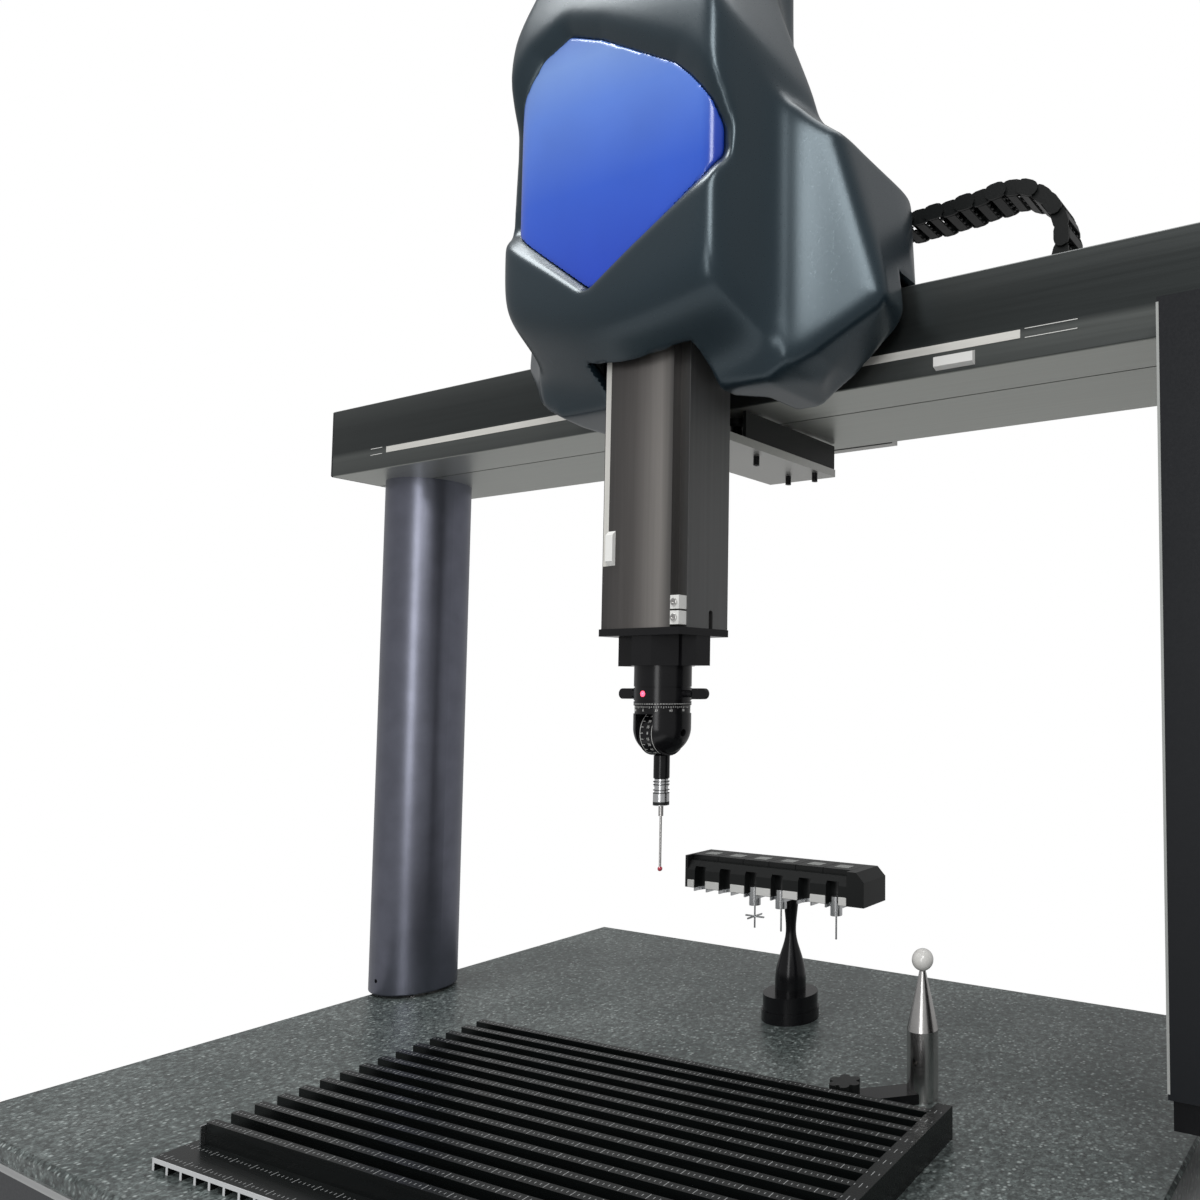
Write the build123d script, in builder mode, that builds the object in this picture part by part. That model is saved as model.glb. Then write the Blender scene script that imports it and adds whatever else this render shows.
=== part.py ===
"""Bridge coordinate measuring machine, millimetres, +Z up.

Origin: middle of the footprint on the floor. X runs along the beam, to the right when seen
from the front, Y runs from the front to the back. The rest pose is the one in which the
probe stands over the table, right of its middle.
"""

from build123d import *
import math
import os

os.makedirs("parts", exist_ok=True)

# Whole machine
overall_width = 1182.0
table_height = 800.0
beam_overhang = 43.0
running_gap = 0.3
fit_gap = 0.05
overrun = 5.0

# Granite table
table_depth = 755.0
table_thickness = 150.0
table_arris = 3.0

# Stand under the table
tube_side = 80.0
tube_wall = 4.0
stand_inset = 34.0
stand_floor_gap = 60.0
shelf_height = 140.0
mount_radius = 32.0
mount_height = 25.0
foot_radius = 40.0
foot_thickness = 15.0
foot_stud_radius = 10.0
foot_nut_radius = 17.0
foot_nut_height = 12.0
panel_thickness = 2.0
panel_drop = 20.0
panel_floor_gap = 110.0
trim_height = 6.0

# Guide rail on the right of the table, for the bridge
rail_gap = 66.0
rail_inset = 23.0
rail_width = 70.0
rail_height = 90.0
rail_drop = 20.0
rail_wall = 8.0
rail_bracket_length = 60.0
rail_bracket_height = 40.0
rail_bracket_shares = (-0.37, 0.0, 0.37)
tape_thickness = 0.4

# Air pads, round and square
pad_thickness = 8.0
pad_radius = 25.0
small_pad_radius = 16.0
stud_radius = 6.0

# Saddle that carries the right leg along the rail
saddle_length = 270.0
saddle_front = -64.5
saddle_cheek = 14.0
saddle_rise = 20.0
saddle_pad_length = 60.0
riser_height = 52.0
riser_width = 83.0
riser_depth = 200.0
riser_inset = 10.0
y_wheel_radius = 10.0
y_wheel_width = 14.0
y_motor_radius = 12.0
wheel_shaft_radius = 3.0

# Right leg
leg_width = 145.0
leg_depth = 240.0
leg_front = -74.5
leg_sheet = 3.0
leg_base_height = 21.0
leg_base_inset = 3.0
leg_lip = 19.0
leg_core_side = 100.0
leg_core_depth = 140.0
leg_core_wall = 8.0

# Beam
beam_clearance = 635.0
beam_height = 82.0
beam_depth = 175.0
beam_front = -44.5
beam_wall = 9.0
beam_web = 8.0
beam_arris = 1.2
beam_joint_offset = 63.0
beam_joint_width = 2.0
beam_cap = 3.0
beam_right_gap = 5.0
x_tape_height = 7.0
x_tape_rise = 22.0
x_tape_left_gap = 109.0
x_tape_right_gap = 262.0
target_inset = 320.0
target_width = 36.0
target_height = 12.0
target_depth = 5.0
target_rise = 9.5

# Left column
column_inset = 64.0
column_y = 43.5
column_radius = 49.3
column_wall = 3.3
column_ground_gap = 3.0
column_rim = 2.0
column_screw_rise = 20.0
column_screw_radius = 2.5
strut_radius = 20.0
column_pad_radius = 30.0
column_pad_offset = 11.0
column_foot_radius = 40.0
column_foot_rise = 22.0
column_foot_thickness = 10.0

# Carriage that runs along the beam
probe_x = 40.0
plate_thickness = 20.0
plate_half_width = 116.0
plate_front = -94.5
plate_rise = 5.0
plate_top_gap = 2.0
mast_half_width = 38.0
mast_height = 763.0
mast_slot_half_width = 14.0
mast_slot_low = 250.0
top_plate_gap = 38.0
top_plate_thickness = 17.0
rear_half_width = 50.0
rear_reach = 224.0
rear_plate_thickness = 12.0
rear_plate_drop = 72.0
front_pad_x = 80.0
front_pad_rise = 54.5
rear_pad_x = 34.0
x_wheel_radius = 15.0
x_wheel_width = 14.0
x_motor_radius = 25.0
x_motor_height = 40.0
bracket_left = -75.0
bracket_right = 11.0
bracket_drop = 35.0
bracket_thickness = 8.0
bracket_rear = 157.0
bracket_screw_radius = 3.0
bracket_screw_length = 9.0

# Quill, the vertical ram
quill_y = -132.5
quill_half_width = 43.5
quill_half_depth = 29.5
quill_wall = 6.0
quill_low = 422.5
quill_length = 662.5
quill_notch_width = 10.0
quill_notch_depth = 9.0
quill_step_width = 8.0
quill_step_depth = 1.6
quill_slot_width = 5.0
quill_slot_height = 13.0
quill_slot_y = 8.0
end_plate_thickness = 6.0
end_plate_margin = 1.0
z_tape_width = 6.0
clamp_height = 11.0
clamp_gap = 1.5
clamp_width = 9.0
clamp_rise = 2.0
z_target_rise = 53.0
z_target_height = 29.0
z_target_width = 8.0
z_target_depth = 3.5
guide_height = 28.0
guide_half_width = 68.0
guide_front_wall = 18.0
guide_low_rise = 710.0
guide_groove = 4.0
guide_high_rise = 856.0
guide_room = 3.0
guide_pad_length = 24.0
cap_thickness = 6.0

# Weight balance and drive of the quill
balance_bore = 17.0
balance_wall = 3.0
balance_length = 580.0
balance_rod_radius = 5.0
piston_length = 12.0
piston_rise = 884.0
balance_bracket_thickness = 8.0
balance_bracket_rise = 1398.0
z_pulley_radius = 12.0
z_pulley_width = 14.0
z_pulley_rise = 845.0
z_idler_rise = 1392.0
belt_thickness = 1.5
belt_width = 10.0
z_motor_radius = 30.0
z_motor_length = 84.0
z_motor_flange = 6.0
z_motor_post_radius = 4.0
z_motor_post_offset = 24.0
pulley_clearance = 2.5

# Moulded cover over the carriage and the quill: half widths from the cover's middle line
cover_wall = 4.0
cover_shift = -10.0
nose_front = -204.5
nose_half_front = 115.5
nose_half_back = 140.5
nose_back_y = -97.5
nose_waist_half = 70.0
nose_waist_y = -21.0
nose_tail_half = 66.0
nose_tail_y = 112.0
nose_flare_half = 136.0
nose_flare_y = -136.5
ridge_y = -97.5
ridge_half = 208.0
shoulder_y = -26.5
shoulder_half = 196.0
hip_y = 120.5
hip_half = 98.0
tail_y = 194.5
tail_half = 70.0
wing_low = 622.0
wing_bend_low = 641.0
wing_bend_half = 153.0
wing_wide = 687.0
wing_top_low = 805.0
wing_top_half = 170.0
wing_top = 821.0
wing_foot_half = 118.0
chin_front = 662.0
chin_low = 631.0
chin_side = 664.0
chin_back = -166.5
brow = 925.0
tower_taper_low = 880.0
tower_taper_high = 1010.0
tower_half = 86.0
tower_front = -182.5
tower_back = -45.0
hump_low = 850.0
hump_top = 868.0
hump_round = 16.0
back_slope_low = 885.0
back_slope_low_y = 34.0
back_slope_mid = 898.0
back_slope_mid_y = -20.0
back_slope_high = 985.0
tower_top = 1415.0
soft_corner = 16.0
soft_edge = 10.0
beam_room = 7.0
beam_face_room = 14.0
seam_y = -26.5
window_depth = 5.0
window_gap = 0.3
window_sheet = 3.0
window_corner = 12.0
lug_height = 14.0
lug_drop = 48.0
chain_clearance = 3.0
mouth_half_width = 82.0
mouth_room = 2.0

# Outline of the window in the cover's front: places from the quill's axis and above the table
window_left_x = -136.0
window_left_low_z = 766.0
window_left_high_z = 866.0
window_point_x = -27.0
window_point_z = 698.0
window_jaw_x = 45.0
window_jaw_z = 736.0
window_right_x = 112.0
window_right_low_z = 783.0
window_right_high_z = 818.0
window_shoulder_x = 72.0
window_shoulder_z = 864.0
window_brow_x = -25.0
window_brow_z = 912.0
window_crown_x = -62.0
window_crown_z = 925.0
window_temple_x = -98.0
window_temple_z = 915.0

# Cable chain behind the cover
chain_y = 80.5
chain_width = 40.0
chain_height = 15.0
chain_radius = 57.0
chain_pitch = 20.0
chain_link_gap = 1.6
chain_wall = 3.0
chain_fixed_x = -22.0
chain_start = 88.0
chain_loop_x = 270.0
chain_anchor_length = 26.0
chain_foot = 3.0
chain_lift = 1.0
chain_post_thickness = 10.0
chain_bridge_height = 5.0

# Probe head
boss_flats = 52.0
boss_height = 24.5
boss_chamfer = 15.5
bar_length = 86.0
bar_width = 17.0
collar_radius = 23.5
collar_height = 17.7
lamp_ring_height = 15.2
ring_groove = 0.8
lamp_radius = 2.4
lamp_depth = 2.0
lever_reach = 43.8
lever_radius = 3.0
lever_tab_length = 11.0
lever_tab_height = 9.0
lever_tab_thickness = 4.0
lever_drop = 5.5
dial_height = 6.7
dial_radius = 22.6
dome_height = 35.4
drum_radius = 19.2
drum_width = 18.0
drum_axis_drop = 15.9
drum_pin_radius = 3.0
drum_recess = 0.6
probe_radius = 6.6
probe_length = 19.4
module_radius = 5.6
module_length = 12.0
module_ring_depth = 0.5
module_collar_radius = 6.6
module_collar_length = 9.9
stylus_holder_radius = 2.0
stylus_holder_length = 9.0
stem_radius = 1.0
ball_radius = 2.0
tip_drop = 54.5
stylus_travel_room = 6.0
stylus_seat = 0.8

# Fixture plate on the table
fixture_x = -14.0
fixture_y = -176.0
fixture_length = 545.0
fixture_width = 306.0
fixture_turn = 3.0
fixture_sheet = 3.5
fixture_web_height = 6.0
fixture_web_thickness = 2.5
fixture_web_pitch = 18.0
fin_count = 15
fin_pitch = 18.3
fin_thickness = 7.0
fin_height = 17.0
fin_neck = 3.0
fin_start = 30.0
fin_inset = 14.0
side_rail_width = 14.0

# Stylus change rack
rack_x = -44.0
rack_y = 171.5
rack_foot_radius = 32.5
rack_foot_height = 12.0
rack_foot_step = 1.5
rack_foot_top = 29.0
rack_shoulder_radius = 17.5
rack_shoulder_top = 40.0
rack_neck_radius = 6.2
rack_neck_low = 92.0
rack_neck_top_radius = 8.5
rack_low = 138.0
rack_high = 175.0
rack_left = -179.0
rack_bay = 37.0
rack_bays = 6
rack_cap = 4.0
rack_end = 22.0
rack_front = 145.5
rack_depth = 46.0
rack_lid_height = 6.0
rack_lid_gap = 0.8
rack_bevel = 10.0
port_radius = 8.0
port_depth = 9.0
insert_height = 4.0
insert_radius = 10.0
docked_radius = 6.6
insert_bore = 6.9
docked_height = 21.0
docked_stem_length = 26.0
docked_bays = (2, 3, 5)

# Reference sphere
sphere_x = 191.0
sphere_y = 49.5
sphere_post_radius = 14.5
sphere_post_height = 62.0
sphere_cone_top = 114.0
sphere_neck_radius = 3.0
sphere_radius = 10.0
sphere_centre = 124.0
sphere_hole_radius = 2.5
sphere_hole_rise = 36.0
arm_length = 80.0
arm_width = 26.0
arm_height = 9.0
arm_turn = 222.0
knob_radius = 15.0
knob_height = 13.0
knob_lobes = 6
knob_lobe_radius = 4.5
knob_stem_radius = 3.0
knob_reach = 72.0

# Places worked out from the sizes above
left_end = -overall_width / 2
right_end = overall_width / 2
table_x0 = left_end + beam_overhang
table_x1 = right_end - rail_inset - rail_width - rail_gap
table_y0 = -table_depth / 2
table_y1 = table_depth / 2
table_low = table_height - table_thickness
beam_low = table_height + beam_clearance
beam_high = beam_low + beam_height
beam_back = beam_front + beam_depth
rail_x0 = table_x1 + rail_gap
rail_x1 = rail_x0 + rail_width
rail_z1 = table_height - rail_drop
rail_z0 = rail_z1 - rail_height
saddle_high = table_height + saddle_rise
riser_high = saddle_high + riser_height
leg_base_high = riser_high + leg_base_height
leg_x0 = right_end - leg_width
column_x = left_end + column_inset
target_x = right_end - target_inset
quill_x = probe_x
cover_x = quill_x + cover_shift
quill_z0 = table_height + quill_low
quill_z1 = quill_z0 + quill_length
head_top = quill_z0 - end_plate_thickness
collar_top = head_top - boss_height
lamp_top = collar_top - collar_height
dial_top = lamp_top - lamp_ring_height
dome_top = dial_top - dial_height
dome_low = dome_top - dome_height
drum_axis_z = dome_top - drum_axis_drop
probe_top = drum_axis_z - drum_radius
probe_low = probe_top - probe_length
module_low = probe_low - module_length
holder_top = module_low - module_collar_length
tip_z = holder_top - tip_drop


def save(piece, name):
    """Label one finished piece and write it."""
    piece.part.label = name
    export_step(piece.part, f"parts/{name}.step")


def block(x0, x1, y0, y1, z0, z1, mode=Mode.ADD):
    """A box between two corners."""
    with Locations(((x0 + x1) / 2, (y0 + y1) / 2, (z0 + z1) / 2)):
        Box(x1 - x0, y1 - y0, z1 - z0, mode=mode)


def rod_z(x, y, z0, z1, radius, mode=Mode.ADD):
    """An upright cylinder from z0 to z1."""
    with Locations((x, y, (z0 + z1) / 2)):
        Cylinder(radius, z1 - z0, mode=mode)


def rod_y(x, y0, y1, z, radius, mode=Mode.ADD):
    """A cylinder along Y from y0 to y1."""
    with Locations((x, (y0 + y1) / 2, z)):
        Cylinder(radius, y1 - y0, rotation=(90, 0, 0), mode=mode)


def rod_x(x0, x1, y, z, radius, mode=Mode.ADD):
    """A cylinder along X from x0 to x1."""
    with Locations(((x0 + x1) / 2, y, z)):
        Cylinder(radius, x1 - x0, rotation=(0, 90, 0), mode=mode)


# Granite table
with BuildPart() as granite_table:
    block(table_x0, table_x1, table_y0, table_y1, table_low, table_height)
    chamfer(granite_table.edges().group_by(Axis.Z)[-1], table_arris)
save(granite_table, "granite_table")

# Stand: four legs, a top ring and a bottom ring of square tube
stand_x0 = table_x0 + stand_inset
stand_x1 = table_x1 - stand_inset
stand_y0 = table_y0 + stand_inset
stand_y1 = table_y1 - stand_inset
stand_top = table_low - mount_height
with BuildPart() as stand_frame:
    for x in (stand_x0, stand_x1 - tube_side):
        for y in (stand_y0, stand_y1 - tube_side):
            block(x, x + tube_side, y, y + tube_side, stand_floor_gap, stand_top)
    for z in (shelf_height, stand_top - tube_side):
        for y in (stand_y0, stand_y1 - tube_side):
            block(stand_x0, stand_x1, y, y + tube_side, z, z + tube_side)
        for x in (stand_x0, stand_x1 - tube_side):
            block(x, x + tube_side, stand_y0, stand_y1, z, z + tube_side)
    for y in (stand_y0, stand_y1 - tube_side):
        for z in (shelf_height, stand_top - tube_side):
            block(stand_x0 + tube_side, stand_x1 - tube_side, y + tube_wall, y + tube_side - tube_wall,
                  z + tube_wall, z + tube_side - tube_wall, mode=Mode.SUBTRACT)
    for x in (stand_x0, stand_x1 - tube_side):
        for y in (stand_y0, stand_y1 - tube_side):
            block(x + tube_wall, x + tube_side - tube_wall, y + tube_wall, y + tube_side - tube_wall,
                  stand_floor_gap + tube_wall, stand_top - tube_wall, mode=Mode.SUBTRACT)
save(stand_frame, "stand_frame")

mount_places = [(x, y) for x in (stand_x0 + tube_side / 2, stand_x1 - tube_side / 2)
                for y in (stand_y0 + tube_side / 2, stand_y1 - tube_side / 2)]
with BuildPart() as stand_feet:
    for x, y in mount_places:
        rod_z(x, y, stand_top, table_low, mount_radius)
        rod_z(x, y, 0, foot_thickness, foot_radius)
        rod_z(x, y, foot_thickness, stand_floor_gap, foot_stud_radius)
        with BuildSketch(Plane.XY.offset(stand_floor_gap - foot_nut_height)):
            with Locations((x, y)):
                RegularPolygon(foot_nut_radius, 6)
        extrude(amount=foot_nut_height)
save(stand_feet, "stand_feet")

panel_top = table_height - panel_drop


def wide_panel(y_outer, y_inner):
    """A sheet across the front or back, with two folded flanges that reach the stand."""
    y_face = table_y0 if y_outer < 0 else table_y1
    flange_end = stand_y0 if y_outer < 0 else stand_y1
    low, high = sorted((y_outer, y_face))
    block(table_x0, table_x1, low, high, panel_floor_gap, panel_top)
    low, high = sorted((y_inner, flange_end))
    for x in (stand_x0 + tube_side / 4, stand_x1 - tube_side / 4 - panel_thickness):
        block(x, x + panel_thickness, low, high, panel_floor_gap + tube_side, stand_top)


with BuildPart() as stand_panels:
    wide_panel(table_y0 - panel_thickness, table_y0)
    wide_panel(table_y1 + panel_thickness, table_y1)
save(stand_panels, "stand_panels")

with BuildPart() as panel_trim:
    block(table_x0, table_x1, table_y0 - panel_thickness, table_y0, panel_top, panel_top + trim_height)
    block(table_x0, table_x1, table_y1, table_y1 + panel_thickness, panel_top, panel_top + trim_height)
save(panel_trim, "panel_trim")

# Guide rail with its brackets
bracket_foot = rail_z0 - rail_bracket_height
with BuildPart() as y_rail:
    block(rail_x0, rail_x1, table_y0, table_y1, rail_z0, rail_z1)
    block(rail_x0 + rail_wall, rail_x1 - rail_wall, table_y0 + rail_wall, table_y1 - rail_wall,
          rail_z0 + rail_wall, rail_z1 - rail_wall, mode=Mode.SUBTRACT)
    for share in rail_bracket_shares:
        y = share * table_depth
        block(table_x1, rail_x1, y - rail_bracket_length / 2, y + rail_bracket_length / 2,
              bracket_foot + rail_bracket_height / 2, rail_z0)
save(y_rail, "y_rail")

# Saddle with its pads round the rail, the drive motor on it and the riser under the leg
saddle_x0 = rail_x0 - running_gap - pad_thickness - saddle_cheek
saddle_x1 = rail_x1 + running_gap + pad_thickness + saddle_cheek
saddle_back = saddle_front + saddle_length
saddle_under = rail_z1 + running_gap + pad_thickness
saddle_mid = (saddle_front + saddle_back) / 2
y_wheel_x = rail_x1 + running_gap + y_wheel_radius
y_wheel_z = (rail_z0 + rail_z1) / 2
wheel_room = y_wheel_radius + pulley_clearance
riser_x0 = saddle_x0 + pad_thickness / 2
with BuildPart() as y_saddle:
    block(saddle_x0, saddle_x1, saddle_front, saddle_back, rail_z0, saddle_high)
    block(saddle_x0 + saddle_cheek, saddle_x1 - saddle_cheek, saddle_front, saddle_back,
          rail_z0, saddle_under, mode=Mode.SUBTRACT)
    block(y_wheel_x - wheel_room, saddle_x1, saddle_mid - wheel_room, saddle_mid + wheel_room,
          rail_z0, saddle_under, mode=Mode.SUBTRACT)
    rod_z(y_wheel_x, saddle_mid, saddle_under, saddle_high, wheel_shaft_radius + pulley_clearance,
          mode=Mode.SUBTRACT)
    rod_z(y_wheel_x, saddle_mid, saddle_high, riser_high - running_gap, y_motor_radius)
    riser_y0 = saddle_front + riser_inset
    block(riser_x0, riser_x0 + riser_width, riser_y0, riser_y0 + riser_depth, saddle_high, riser_high)
save(y_saddle, "y_saddle")

saddle_pad_ys = (saddle_front + saddle_pad_length, saddle_back - saddle_pad_length)
pad_x = column_x + column_pad_offset
foot_z = table_height + column_foot_rise
with BuildPart() as bridge_air_pads:
    for y in saddle_pad_ys:
        y0, y1 = y - saddle_pad_length / 2, y + saddle_pad_length / 2
        block(rail_x0 + rail_wall, rail_x1 - rail_wall, y0, y1, rail_z1 + running_gap, saddle_under)
        for x in (saddle_x0 + saddle_cheek, rail_x1 + running_gap):
            block(x, x + pad_thickness, y0, y1, rail_z0 + 2 * rail_wall, rail_z1 - rail_wall)
    pad_z = table_height + running_gap
    rod_z(pad_x, column_y, pad_z, pad_z + pad_thickness, column_pad_radius)
    rod_z(pad_x, column_y, pad_z + pad_thickness, foot_z, stud_radius)
save(bridge_air_pads, "bridge_air_pads")

with BuildPart() as y_drive_wheel:
    rod_z(y_wheel_x, saddle_mid, y_wheel_z - y_wheel_width / 2, y_wheel_z + y_wheel_width / 2, y_wheel_radius)
    rod_z(y_wheel_x, saddle_mid, y_wheel_z, saddle_high - running_gap, wheel_shaft_radius)
save(y_drive_wheel, "y_drive_wheel")

# Right leg: a base plate, a box column and a folded cover that laps over the beam's lower front.
# The struts node also holds the left column's inner strut.
leg_back = leg_front + leg_depth
with BuildPart() as leg_base:
    block(leg_x0 + leg_base_inset, right_end, leg_front + leg_base_inset, leg_back, riser_high, leg_base_high)
save(leg_base, "leg_base")

core_x0 = leg_x0 + (leg_width - leg_core_side) / 2
core_y0 = leg_front + (leg_depth - leg_core_depth) / 2
with BuildPart() as bridge_struts:
    block(core_x0, core_x0 + leg_core_side, core_y0, core_y0 + leg_core_depth, leg_base_high, beam_low)
    block(core_x0 + leg_core_wall, core_x0 + leg_core_side - leg_core_wall,
          core_y0 + leg_core_wall, core_y0 + leg_core_depth - leg_core_wall,
          leg_base_high, beam_low - leg_core_wall, mode=Mode.SUBTRACT)
    rod_z(column_x, column_y, foot_z + column_foot_thickness, beam_low, strut_radius)
    rod_z(column_x, column_y, foot_z, foot_z + column_foot_thickness, column_foot_radius)
save(bridge_struts, "bridge_struts")

leg_lip_top = beam_low + leg_lip
with BuildPart() as leg_cover:
    block(leg_x0, right_end, leg_front, leg_back, leg_base_high, leg_lip_top)
    block(leg_x0 + leg_sheet, right_end - leg_sheet, leg_front + leg_sheet, leg_back - leg_sheet,
          leg_base_high, leg_lip_top - leg_sheet, mode=Mode.SUBTRACT)
    block(leg_x0, right_end, beam_front - running_gap, beam_back + running_gap,
          beam_low - running_gap, leg_lip_top, mode=Mode.SUBTRACT)
save(leg_cover, "leg_cover")

# Beam: a hollow extrusion with a web and a joint line along its underside
beam_x0 = left_end + beam_cap
beam_x1 = right_end - beam_right_gap - beam_cap
joint_y = beam_front + beam_joint_offset
with BuildPart() as beam:
    block(beam_x0, beam_x1, beam_front, beam_back, beam_low, beam_high)
    chamfer(beam.edges().filter_by(Axis.X), beam_arris)
    for y0, y1 in ((beam_front + beam_wall, joint_y - beam_web / 2),
                   (joint_y + beam_web / 2, beam_back - beam_wall)):
        block(beam_x0, beam_x1, y0, y1, beam_low + beam_wall, beam_high - beam_wall, mode=Mode.SUBTRACT)
    block(beam_x0, beam_x1, joint_y - beam_joint_width / 2, joint_y + beam_joint_width / 2,
          beam_low, beam_low + beam_joint_width, mode=Mode.SUBTRACT)
save(beam, "beam")

with BuildPart() as beam_end_caps:
    for x in (left_end, beam_x1):
        with BuildSketch(Plane.YZ.offset(x)):
            with Locations(((beam_front + beam_back) / 2, (beam_low + beam_high) / 2)):
                cap_face = Rectangle(beam_depth, beam_height)
            chamfer(cap_face.vertices(), beam_arris)
        extrude(amount=beam_cap)
save(beam_end_caps, "beam_end_caps")

x_tape_z = beam_low + x_tape_rise
with BuildPart() as x_scale:
    block(left_end + x_tape_left_gap, right_end - x_tape_right_gap, beam_front - tape_thickness, beam_front,
          x_tape_z - x_tape_height / 2, x_tape_z + x_tape_height / 2)
save(x_scale, "x_scale")

with BuildPart() as limit_target:
    with BuildSketch(Plane.YZ.offset(target_x - target_width / 2)):
        with BuildLine():
            Polyline((beam_front, beam_low + target_rise - target_height / 2),
                     (beam_front - target_depth, beam_low + target_rise - target_height / 3),
                     (beam_front - target_depth, beam_low + target_rise + target_height / 3),
                     (beam_front, beam_low + target_rise + target_height / 2), close=True)
        make_face()
    extrude(amount=target_width)
save(limit_target, "limit_target")

# Left column: a sleeve round its strut
column_low = table_height + column_ground_gap
with BuildPart() as left_column:
    rod_z(column_x, column_y, column_low, beam_low, column_radius)
    fillet(left_column.edges().group_by(Axis.Z)[0], column_rim)
    rod_z(column_x, column_y, column_low, beam_low, column_radius - column_wall, mode=Mode.SUBTRACT)
    rod_y(column_x, column_y - column_radius - overrun, column_y, table_height + column_screw_rise,
          column_screw_radius, mode=Mode.SUBTRACT)
save(left_column, "left_column")


# Carriage frame: front plate with a slotted mast, top plate over the beam, rear plate, bracket
# below the beam, shelf for the weight balance, post for the chain and pin for the belt's idler
plate_back = plate_front + plate_thickness
plate_low = beam_low + plate_rise
plate_high = table_height + wing_top - cover_wall - plate_top_gap
mast_high = beam_low + mast_height
slot_low = beam_low + mast_slot_low
bracket_low = beam_low - bracket_drop
bracket_x0 = quill_x + bracket_left
bracket_x1 = quill_x + bracket_right
top_plate_low = beam_high + top_plate_gap
top_plate_high = top_plate_low + top_plate_thickness
rear_plate_y1 = beam_front + rear_reach
rear_plate_y0 = rear_plate_y1 - rear_plate_thickness
x_wheel_y = beam_back + running_gap + x_wheel_radius
x_wheel_z = (beam_low + beam_high) / 2
rod_top = table_height + balance_bracket_rise
chain_low_z = beam_high + chain_foot + chain_lift + chain_height / 2
chain_high_z = chain_low_z + 2 * chain_radius
chain_mid_z = (chain_low_z + chain_high_z) / 2
chain_start_x = quill_x + chain_start + chain_anchor_length
z_pulley_y0 = plate_back + pulley_clearance
z_pulley_y1 = z_pulley_y0 + z_pulley_width
z_pulley_z = table_height + z_pulley_rise
z_idler_z = table_height + z_idler_rise
with BuildPart() as carriage_frame:
    block(quill_x - plate_half_width, quill_x + plate_half_width, plate_front, plate_back,
          plate_low, plate_high)
    block(quill_x - mast_half_width, quill_x + mast_half_width, plate_front, plate_back,
          plate_high, mast_high)
    block(bracket_x0, bracket_x1, plate_front, plate_back, bracket_low + bracket_thickness, plate_low)
    block(quill_x - mast_slot_half_width, quill_x + mast_slot_half_width, plate_front, plate_back,
          slot_low, mast_high - plate_thickness, mode=Mode.SUBTRACT)
    block(quill_x - plate_half_width, quill_x + plate_half_width, plate_back, beam_front + beam_depth / 2,
          top_plate_low, top_plate_high)
    block(quill_x - rear_half_width, quill_x + rear_half_width, beam_front + beam_depth / 2, rear_plate_y1,
          top_plate_low, top_plate_high)
    rod_z(quill_x, x_wheel_y, top_plate_low, top_plate_high, wheel_shaft_radius + pulley_clearance,
          mode=Mode.SUBTRACT)
    block(quill_x - rear_half_width, quill_x + rear_half_width, rear_plate_y0, rear_plate_y1,
          beam_high - rear_plate_drop, top_plate_low)
    block(bracket_x0, bracket_x1, plate_front, beam_front + bracket_rear,
          bracket_low, bracket_low + bracket_thickness)
    block(quill_x - mast_half_width, quill_x + mast_half_width, quill_y - 2 * balance_rod_radius, plate_back,
          rod_top, rod_top + balance_bracket_thickness)
    block(quill_x + rear_half_width - chain_post_thickness, quill_x + rear_half_width,
          chain_y - chain_width / 2, chain_y + chain_width / 2,
          top_plate_high, chain_high_z + chain_height / 2)
    rod_y(quill_x, plate_back, z_pulley_y1 + running_gap, z_idler_z, wheel_shaft_radius)
    rod_y(quill_x, z_pulley_y1 + running_gap, z_pulley_y1 + pulley_clearance, z_idler_z,
          2 * wheel_shaft_radius)
save(carriage_frame, "carriage_frame")

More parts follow.
